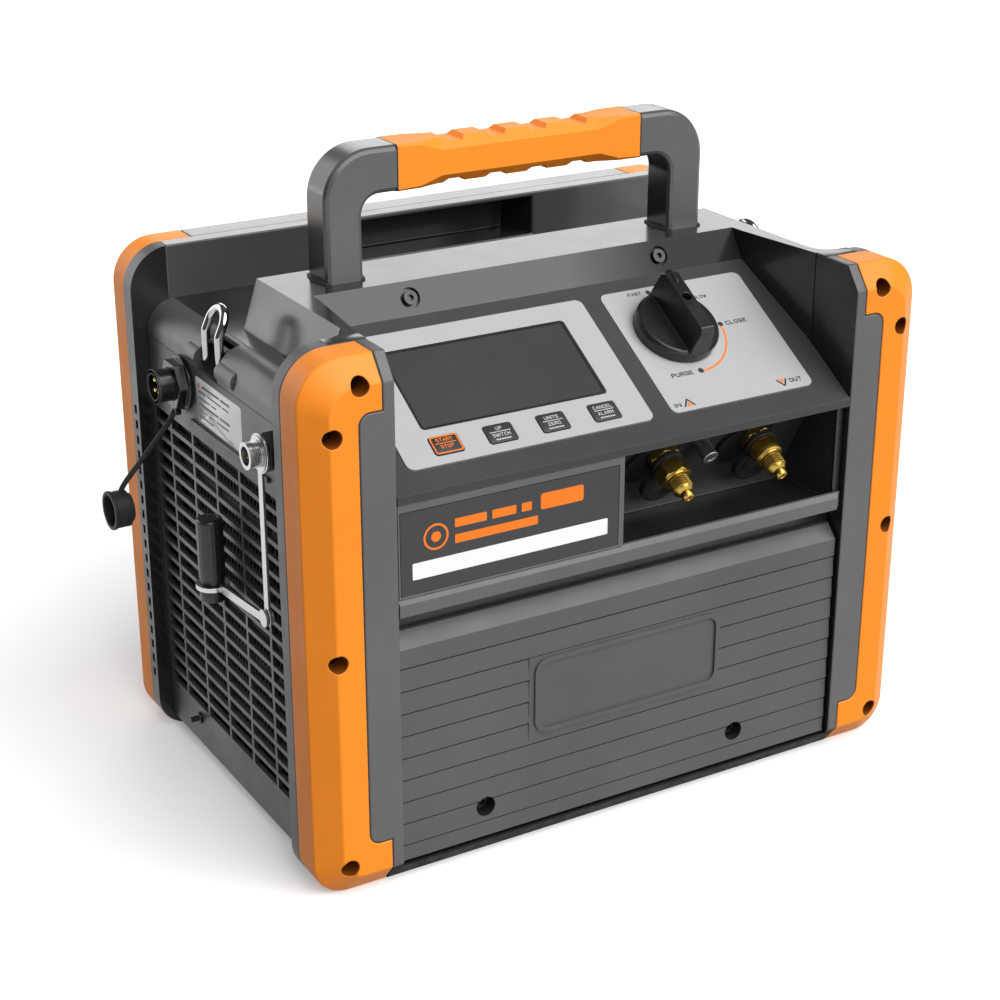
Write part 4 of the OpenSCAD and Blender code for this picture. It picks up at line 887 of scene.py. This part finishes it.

# keys: divider and lettering on each face, an outline on the start key and a row of small bars on the others
for i, (body, inkm, slot) in enumerate((("start_key", M_ink_orange, "orange_key"), ("up_key", M_ink_pale, "panel_plate"), ("units_key", M_ink_pale, "panel_plate"), ("cancel_key", M_ink_pale, "panel_plate"))):
    k = on_panel(-94.4 + i * 29.2, 22, 1.1)
    b = Build()
    if i == 0:
        b.frame(rrect(14.6, 10.2, 1.3), rrect(13.2, 8.8, 0.8), -0.1, 0.05, k)
    b.prism(rrect(11.2, 0.42, 0.15, 0, 0.75, n=2), -0.1, 0.05, k)
    for word, y in ((("START", "UP", "UNITS", "CANCEL")[i], 2.7), (("STOP", "SWITCH", "ZERO", "ALARM")[i], -1.2)):
        tot = 1.36 * len(word) + 0.5 * (len(word) - 1) - word.count("I") * 1.1
        letters(b, k, word, -tot / 2, y, 2.0, tot, 0.30, -0.1, 0.05)
    if i:
        tot = 6 * 1.1 + 5 * 0.3
        words(b, k, -tot / 2, -3.75, 0.8, (1.1,) * 6, 0.3, -0.1, 0.05)
    b.obj(body + "_marks", inkm, body)

# dial plate: dots, arc, arrowheads and small bars
d = on_panel(0, 0, 0.6)
b = Build()
for x, s, r in ((57.0, 89.8, 1.35), (85.7, 60.9, 1.5), (57.9, 34.5, 1.6), (78.0, 81.0, 1.1)):
    b.prism(circle(r, x, s), -0.1, 0.05, d)
letters(b, d, "FAST", 44.6, 90.0, 2.0, 8.2, 0.40, -0.1, 0.05)
letters(b, d, "SLOW", 80.2, 81.0, 2.0, 8.2, 0.40, -0.1, 0.05)
letters(b, d, "CLOSE", 89.0, 60.9, 2.6, 13.0, 0.52, -0.1, 0.05)
letters(b, d, "PURGE", 40.0, 34.5, 2.6, 13.0, 0.52, -0.1, 0.05)
letters(b, d, "IN", 31.4, 16.4, 2.6, 3.9, 0.52, -0.1, 0.05)
letters(b, d, "OUT", 102.8, 17.4, 2.6, 7.6, 0.52, -0.1, 0.05)
b.prism([(36.4, 14.6), (37.5, 14.6), (39.9, 18.3), (42.3, 14.6), (43.4, 14.6), (40.3, 19.3), (39.5, 19.3)], -0.1, 0.05, d)
b.prism([(95.0, 19.2), (98.1, 14.5), (98.9, 14.5), (102.0, 19.2), (100.9, 19.2), (98.5, 15.5), (96.1, 19.2)], -0.1, 0.05, d)
b.obj("dial_marks_dark", M_ink_dark, "housing")
b = Build()
b.prism(arc_stroke(28.0, 1.05, -4, -86, 57.5, 62), -0.1, 0.05, d)
b.prism([(38.1, 14.6), (41.7, 14.6), (39.9, 17.3)], -0.1, 0.05, d)
b.prism([(96.8, 19.2), (98.5, 16.5), (100.2, 19.2)], -0.1, 0.05, d)
b.obj("dial_marks_orange", M_ink_orange, "housing")

# dark ring round the display, a painted shadow of the bezel's window edges
b = Build()
lm = on_panel(-50.6, 57.3)
b.frame(rrect(103.2, 49.6, 2.1), rrect(100.4, 46.8, 1.2), -0.1, 0.45, lm)
b.obj("display_painted_shadow_ring", M_black, "housing")

# blank label on the left side
b = Build()
b.prism(rrect(55.4, 23.5, 1.4), -0.1, 0.16, on_left(-167, 116.3, 207.75), 0.04)
b.obj("side_label", M_label, "housing")
b = Build()
lab = on_left(-167, 116.3, 207.75)
for y, row in ((8.2, (21, 11)), (4.9, (9, 17, 8)), (1.6, (14, 6)), (-1.7, (24, 12)), (-5.0, (10, 8, 15)), (-8.3, (17,))):
    words(b, lab, -24.0 if y < 8 else -19.5, y, 0.9 if y != 8.2 and y != -1.7 else 1.25, row, 1.5, 0.1, 0.2)
b.obj("label_lines", M_ink_label, "housing")
b = Build()
b.prism([(-25.2, 6.9), (-21.9, 6.9), (-23.55, 9.8)], 0.1, 0.2, lab)
b.obj("label_mark", M_ink_orange, "housing")

# ------------------------------------------------------------------ knob details


def carved(node, name, cutter, mat, body, bevel):
    """The node's own solid with a hole cut in it and its edges rounded, as a new closed mesh."""
    def link(n, me):
        o = bpy.data.objects.new(n, me)
        bpy.context.scene.collection.objects.link(o)
        return o
    src = N[node]
    o = link(name, src.data.copy())
    o.matrix_world = src.matrix_world.copy()
    me = o.data
    if "custom_normal" in me.attributes:
        me.attributes.remove(me.attributes["custom_normal"])
    me.shade_smooth()
    c = link(name + "_cutter", cutter)
    w = o.modifiers.new("weld", "WELD")
    w.merge_threshold = 4e-6
    d = o.modifiers.new("planes", "DECIMATE")
    d.decimate_type, d.angle_limit = "DISSOLVE", rad(0.05)
    k = o.modifiers.new("hole", "BOOLEAN")
    k.operation, k.solver, k.object = "DIFFERENCE", "EXACT", c
    b = o.modifiers.new("round", "BEVEL")
    b.width, b.segments, b.limit_method, b.angle_limit = bevel * MM, 3, "ANGLE", rad(32)
    b.use_clamp_overlap = False
    n = o.modifiers.new("normals", "WEIGHTED_NORMAL")
    n.weight, n.keep_sharp = 60, True
    bpy.context.view_layer.update()
    done = bpy.data.meshes.new_from_object(o.evaluated_get(bpy.context.evaluated_depsgraph_get()))
    o.modifiers.clear()
    o.data = done
    bpy.data.objects.remove(c)
    done.materials.clear()
    done.materials.append(mat)
    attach(o, body)
    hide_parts(node)
    return o


kb = on_panel(57.5, 62)
b = Build()
b.lathe([(2.45, 19.0), (2.45, 30.0)], kb @ Matrix.Translation((0, 2.3 * MM, 0)), 40)
cut = bpy.data.meshes.new("hole")
cut.from_pydata([tuple(p) for p in b.v], [], b.f)
carved("selector_knob", "knob_body", cut, M_knob, "selector", 0.6)
b = Build()
b.prism(rrect(1.9, 8.6, 0.5, 0, 16.4), 22.0, 24.7, kb, 0.3)
b.prism(rrect(1.9, 2.6, 0.5, 0, 20.9), 12.0, 23.4, kb, 0.3)
b.obj("knob_pointer", M_knob, "selector", bevel=0.15)
# pale strip on the knob rim: a painted highlight on the rim's chamfer
b = Build()
b.loops([[(r * cos(rad(a_)), r * sin(rad(a_)), z) for r, z in ((21.6, 2.4), (22.26, 2.4), (22.26, 5.7), (21.6, 5.7))] for a_ in range(-64, -43, 2)], kb)
b.obj("knob_rim_painted_highlight", M_ink_pale, "selector")

# ------------------------------------------------------------------ service ports
thread = [(5.0, 19.3)]
h = 19.6
while h < 25.0:
    thread += [(4.95, h), (5.50, h + 0.36), (5.50, h + 0.66), (4.95, h + 1.0)]
    h += 1.27
for i, (node, px) in enumerate((("inlet_port", 34.3), ("outlet_port", 92.3))):
    m = on_bay(px, 28.1)
    b = Build()
    b.lathe([(1.7, -22), (6.2, -22), (6.2, 2.6), (6.4, 2.6), (6.4, 9.6), (6.9, 9.6), (6.9, 18.8), (6.6, 19.2)]
            + thread + [(5.0, 25.9), (5.2, 26.0), (4.6, 26.8), (3.5, 27.9), (3.3, 28.0), (3.3, 30.4), (3.1, 30.9), (2.6, 31.5), (1.7, 31.6), (1.55, 31.3), (1.55, 29.2), (0.9, 29.0), (0.85, 30.6), (0.5, 30.9)], m, 64)
    b.hexnut(9.2, 2.5, 6.6, m, turn=rad(12 + 25 * i))
    if i == 0:
        b.hexnut(8.7, 10.4, 18.6, m, turn=rad(35))
    else:
        knurl = lambda r, h_, a_: r - (0.16 * (0.5 + 0.5 * cos(40 * a_)) if r > 7.5 else 0)
        b.lathe([(6.5, 9.7), (7.5, 9.8), (7.5, 10.5), (7.0, 10.6), (7.0, 11.0), (7.7, 11.1), (7.9, 11.4), (7.9, 14.5), (7.9, 17.8), (7.7, 18.3), (7.1, 18.6), (6.5, 18.7)], m, 160, knurl)
    b.hexnut(9.5, -8, -3, m)
    b.torus_lathe([(5.2, 18.65), (6.35, 18.7), (6.5, 19.0), (6.35, 19.35), (5.2, 19.4)], m, 48)
    o = b.obj(node + "_fitting", M_brass, "housing", smooth=28)
    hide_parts(node)
    # rubber cap strap: an eye round the port and an open loop below it
    b = Build()
    eye = [(6.45, 6.8), (8.4, 7.0), (8.6, 7.25), (8.6, 9.3), (8.4, 9.55), (6.45, 9.55)]
    b.torus_lathe(eye, m, 56)
    loop = [(9.4, 6.6), (11.2, 6.6), (11.45, 6.85), (11.45, 10.3), (11.2, 10.55), (9.4, 10.55)]
    b.torus_lathe(loop, m @ Matrix.Translation((1.6 * MM, -15.6 * MM, 0)), 64)
    b.obj(node + "_strap", M_rubber, "housing")

# ------------------------------------------------------------------ handle
def handle_half(sx):
    a, top, r1, r2, leg = 110.5, 330.5, 25.0, 10.0, 20.5
    zi = top - 23.0
    st = [((71.3, top), (71.3, zi)), ((76.0, top), (74.5, zi)), ((a - r1, top), (a - leg - r2, zi))]
    for k in range(1, 13):
        t = rad(90 - 90 * k / 12)
        st.append(((a - r1 + r1 * cos(t), top - r1 + r1 * sin(t)), (a - leg - r2 + r2 * cos(t), zi - r2 + r2 * sin(t))))
    for z in (296, 287, 277, 269, 266.0):
        st.append(((a, z), (a - leg, z)))
    y0, y1, c = 108.0, 130.5, 2.6
    rings = []
    for O, I in st:
        O, I = Vector(O), Vector(I)
        u = (O - I).normalized()
        sect = []
        for q, y in ((I + u * c, y0), (O - u * c, y0), (O - u * 0.35 * c, y0 + 0.35 * c), (O, y0 + c), (O, y1 - c), (O - u * 0.35 * c, y1 - 0.35 * c), (O - u * c, y1), (I + u * c, y1), (I + u * 0.35 * c, y1 - 0.35 * c), (I, y1 - c), (I, y0 + c), (I + u * 0.35 * c, y0 + 0.35 * c)):
            sect.append((sx * q.x, y - 120, q.y))
        rings.append(sect)
    return rings


b = Build()
for sx in (1, -1):
    b.loops(handle_half(sx), LIFTED)
o = b.obj("handle_bow", M_handle, "housing", smooth=24)
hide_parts("handle_frame")
b = Build()
for sx in (1, -1):
    m = upright(sx * 100.25, 119.25, 266)
    b.prism([(-10.6, -10.9), (10.6, -10.9), (13.6, 0), (10.6, 10.9), (-10.6, 10.9), (-13.6, 0)], -0.1, 1.1, m, 0.3)
b.obj("handle_leg_gaskets", M_rubber, "housing")
b = Build()
for sx in (1, -1):
    c0, y0, y1, z0, z1 = 1.2, 108.0, 130.5, 307.5, 330.5
    ring = [(y0 + c0, z0), (y1 - c0, z0), (y1, z0 + c0), (y1, z1 - c0), (y1 - c0, z1), (y0 + c0, z1), (y0, z1 - c0), (y0, z0 + c0)]
    b.loops([[(sx * x, y - 120, z) for y, z in ring] for x in (70.48, 70.9, 71.32)], LIFTED)
b.obj("grip_end_seals", M_rubber, "housing")

# deck skin that runs out over the front flange, and the joint line of the rear cross piece
b = Build()
for sx in (1, -1):
    b.prism(rrect(19.4, 8.2, 0.3, sx * 140.6, 30.4 - 120, n=2), 265.9, 266.25, LIFTED, 0.1)
b.obj("deck_wings", M_dark, "housing")
b = Build()
b.prism(rrect(273, 0.7, 0.2, 0, 216.1 - 120, n=2), 268.9, 269.05, LIFTED)
b.obj("rear_joint_line", M_black, "housing")
# black strip below the shelf: painted shade in the gap between the shelf and the front panel
b = Build()
b.prism(rrect(259.6, 10.6, 0.3, n=2), 0, 0.7, on_front(0, 12.2, 131.3), 0.15)
b.obj("shelf_gap_painted_shade", M_black, "housing")
b = Build()
for sx in (1, -1):
    q = on_left(-167, 105, 193.2) if sx < 0 else Matrix.Diagonal((-1, 1, 1, 1)) @ on_left(-167, 105, 193.2)
    b.prism(rrect(94, 3.0, 1.45), -0.2, 1.6, q, 0.7)
b.obj("grille_ledges", M_panel, "housing")
b = Build()
for sx in (1, -1):
    for h, back in ((266, 0), (269, 1)):
        zt = h - 25.2
        way = [(136.7, 9.4, h - 0.9), (136.7, 0.95, h - 12.3), (136.7, 0.95, zt), (142.9, 0.95, zt)]
        way += [(142.9 + 5.8 * sin(rad(a_)), 0.95, zt - 5.8 + 5.8 * cos(rad(a_))) for a_ in range(10, 91, 10)]
        way += [(142.9 + 5.8 * cos(rad(a_)), 0.95, 26.5 - 5.8 * sin(rad(a_))) for a_ in range(0, 91, 10)]
        way += [(136.7, 0.95, 20.7), (136.7, 0.95, 6.2)]
        b.tube(fillet([P(sx * x, 240 - y if back else y, z) for x, y, z in way], 0.6 * MM, 3), 0.6, n=10)
b.obj("bumper_seals", M_rubber, "housing")

# ------------------------------------------------------------------ strap bails
for body, node, sx in (("right_strap_bail", "right_bail", 1), ("left_strap_bail", "left_bail", -1)):
    an = math.atan2(2.2, 5.0)
    up = Vector((-sin(an), 0, cos(an)))
    low = [(163, 110, 229), (163, 121, 229), (163, 121, 244.5), (160.8, 121, 249.5)]
    loop = []
    for k in range(1, 24):
        t = pi * k / 24
        q = Vector((160.8, 129, 249.5)) + Vector((0, -8 * cos(t), 0)) + up * 8 * sin(t)
        loop.append(tuple(q))
    end = [(160.8, 137, 249.5), (163, 137, 244.5), (163, 137, 229), (163, 148, 229)]
    path = fillet([P(sx * x, y, z) for x, y, z in low], 4.2 * MM)
    path += [P(sx * x, y, z) for x, y, z in loop]
    path += fillet([P(sx * x, y, z) for x, y, z in end], 4.2 * MM)
    b = Build()
    b.tube(path, 2.25, n=24)
    o = b.obj(node + "_wire", M_chrome, body, smooth=60)
    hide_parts(node)

# ------------------------------------------------------------------ screws
b = Build()
for sx in (1, -1):
    for x, z in ((147.5, 253.6), (161.5, 231.5), (162, 121), (159.5, 11)):
        b.socket_head(3.65, -2.2, 2.0, on_front(sx * x, 12, z), 1.9, 1.9)
        b.socket_head(3.65, -2.2, 2.0, on_back(sx * x, 228, z), 1.9, 1.9)
for x in (-83, 68.5):
    b.socket_head(3.95, -1.6, 2.0, on_front(x, 10, 21), 2.1, 1.9)
b.obj("socket_screws", M_blacksteel, "housing", smooth=28)

# ------------------------------------------------------------------ left-side connectors
m = on_left(-167, 161, 211)
b = Build()
for i in (-1, 1):
    for j in (-1, 1):
        q = m @ Matrix.Translation((i * 2.7 * MM, j * 2.7 * MM, 0))
        b.lathe([(1.2, 5.0), (1.2, 13.6), (1.05, 14.1), (0.7, 14.45), (0.2, 14.6)], q, 20)
b.obj("power_contacts", M_gold, "housing")
b = Build()
b.torus_lathe([(6.95, 14.6), (8.7, 14.6), (8.95, 15.0), (8.95, 15.7), (8.7, 16.0), (7.1, 16.0), (6.85, 15.7)], m, 56)
b.obj("power_socket_rim", M_nut, "housing")
m = on_left(-167, 52, 210.5)
b = Build()
for k in range(4):
    z = 8.5 + k * 0.95
    b.torus_lathe([(5.8, z), (6.33, z + 0.28), (6.33, z + 0.5), (5.8, z + 0.8)], m, 48)
b.obj("sensor_socket_thread", M_plated, "housing")
b = Build()
b.prism(circle(4.55, 0, 0, 40), 5.8, 8.2, m, 0.2)
b.obj("sensor_insert", M_black, "housing")
b = Build()
for k in range(4):
    q = m @ Matrix.Translation((2.2 * MM * cos(pi / 4 + k * pi / 2), 2.2 * MM * sin(pi / 4 + k * pi / 2), 0))
    b.lathe([(0.5, 7.8), (0.5, 12.2), (0.35, 12.6), (0.1, 12.7)], q, 14)
b.obj("sensor_contacts", M_gold, "housing")

# fluted sensor cap
b = Build()
def flute(r, h, a):
    inside = 4.5 < h < 34.5 or -7.2 < h < -2.2
    return r - (0.10 * (0.5 + 0.5 * cos(18 * a)) ** 2 if inside and r > 6 else 0)
b.lathe([(0.5, -8), (5.9, -8), (6.5, -7.5), (6.7, -7.1), (6.7, -2.3), (6.5, -1.9), (6.1, -1.6), (5.0, -1.5), (5.0, 1.5), (5.9, 1.6), (6.1, 2.0), (6.1, 4.2), (6.55, 4.4), (6.7, 4.7), (6.7, 12), (6.7, 20), (6.7, 28), (6.7, 34.3), (6.55, 34.9), (6.1, 35.6), (5.4, 36), (4.4, 36), (4.2, 35.8), (0.5, 35.75)],
        upright(-177, 112, 121), 108, flute)
o = b.obj("sensor_cap_grip", M_black, "cap", smooth=30)
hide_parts("sensor_cap")

# ------------------------------------------------------------------ stage
def stage_plane():
    me = bpy.data.meshes.new("floor")
    s = 80.0
    me.from_pydata([(-s, -s, -0.0002), (s, -s, -0.0002), (s, s, -0.0002), (-s, s, -0.0002)], [], [(0, 1, 2, 3)])
    o = bpy.data.objects.new("floor", me)
    m = bpy.data.materials.new("pale_floor")
    m.use_nodes = True
    p = m.node_tree.nodes["Principled BSDF"]
    p.inputs["Base Color"].default_value = (0.86, 0.86, 0.86, 1)
    p.inputs["Roughness"].default_value = 0.75
    p.inputs["Specular IOR Level"].default_value = 0.2
    p.inputs["Emission Color"].default_value = (1, 1, 1, 1)
    p.inputs["Emission Strength"].default_value = 0.22
    me.materials.append(m)
    bpy.context.scene.collection.objects.link(o)
    o.visible_diffuse = False
    me = bpy.data.meshes.new("backdrop")
    s = 20.0
    c = [(-s, -s), (s, -s), (s, s), (-s, s)]
    me.from_pydata([(x, y, z) for z in (-0.0002, 15.0) for x, y in c], [], [(k, (k + 1) % 4, 4 + (k + 1) % 4, 4 + k) for k in range(4)])
    o = bpy.data.objects.new("backdrop", me)
    m = bpy.data.materials.new("pale_backdrop")
    m.use_nodes = True
    p = m.node_tree.nodes["Principled BSDF"]
    p.inputs["Base Color"].default_value = (0.86, 0.86, 0.86, 1)
    p.inputs["Roughness"].default_value = 0.75
    p.inputs["Emission Color"].default_value = (1, 1, 1, 1)
    p.inputs["Emission Strength"].default_value = 1.0
    me.materials.append(m)
    bpy.context.scene.collection.objects.link(o)
    o.visible_diffuse = o.visible_glossy = o.visible_transmission = o.visible_shadow = False


stage_plane()


def area(name, loc, target, size, size_y, power):
    ld = bpy.data.lights.new(name, "AREA")
    ld.shape, ld.size, ld.size_y, ld.energy = "RECTANGLE", size, size_y, power
    o = bpy.data.objects.new(name, ld)
    o.location = loc
    o.rotation_euler = (Vector(target) - Vector(loc)).to_track_quat("-Z", "Y").to_euler()
    bpy.context.scene.collection.objects.link(o)
    return o


sun = bpy.data.lights.new("key", "SUN")
sun.energy, sun.angle = 4.2, rad(70)
so = bpy.data.objects.new("key", sun)
az, el = rad(19), rad(42)
d = Vector((sin(az) * cos(el), -cos(az) * cos(el), sin(el)))
so.rotation_euler = d.to_track_quat("Z", "Y").to_euler()
bpy.context.scene.collection.objects.link(so)
area("back_box", (1.17, 1.98, 1.1), (0, 0, 0.27), 1.7, 1.2, 15.5)
area("left_back_box", (-1.25, 1.9, 0.95), (0, 0, 0.25), 1.7, 1.8, 21)
w = bpy.data.worlds.new("studio")
w.use_nodes = True
w.node_tree.nodes["Background"].inputs["Color"].default_value = (1, 1, 1, 1)
w.node_tree.nodes["Background"].inputs["Strength"].default_value = 0.12
bpy.context.scene.world = w
bpy.context.scene.view_settings.view_transform = "Standard"
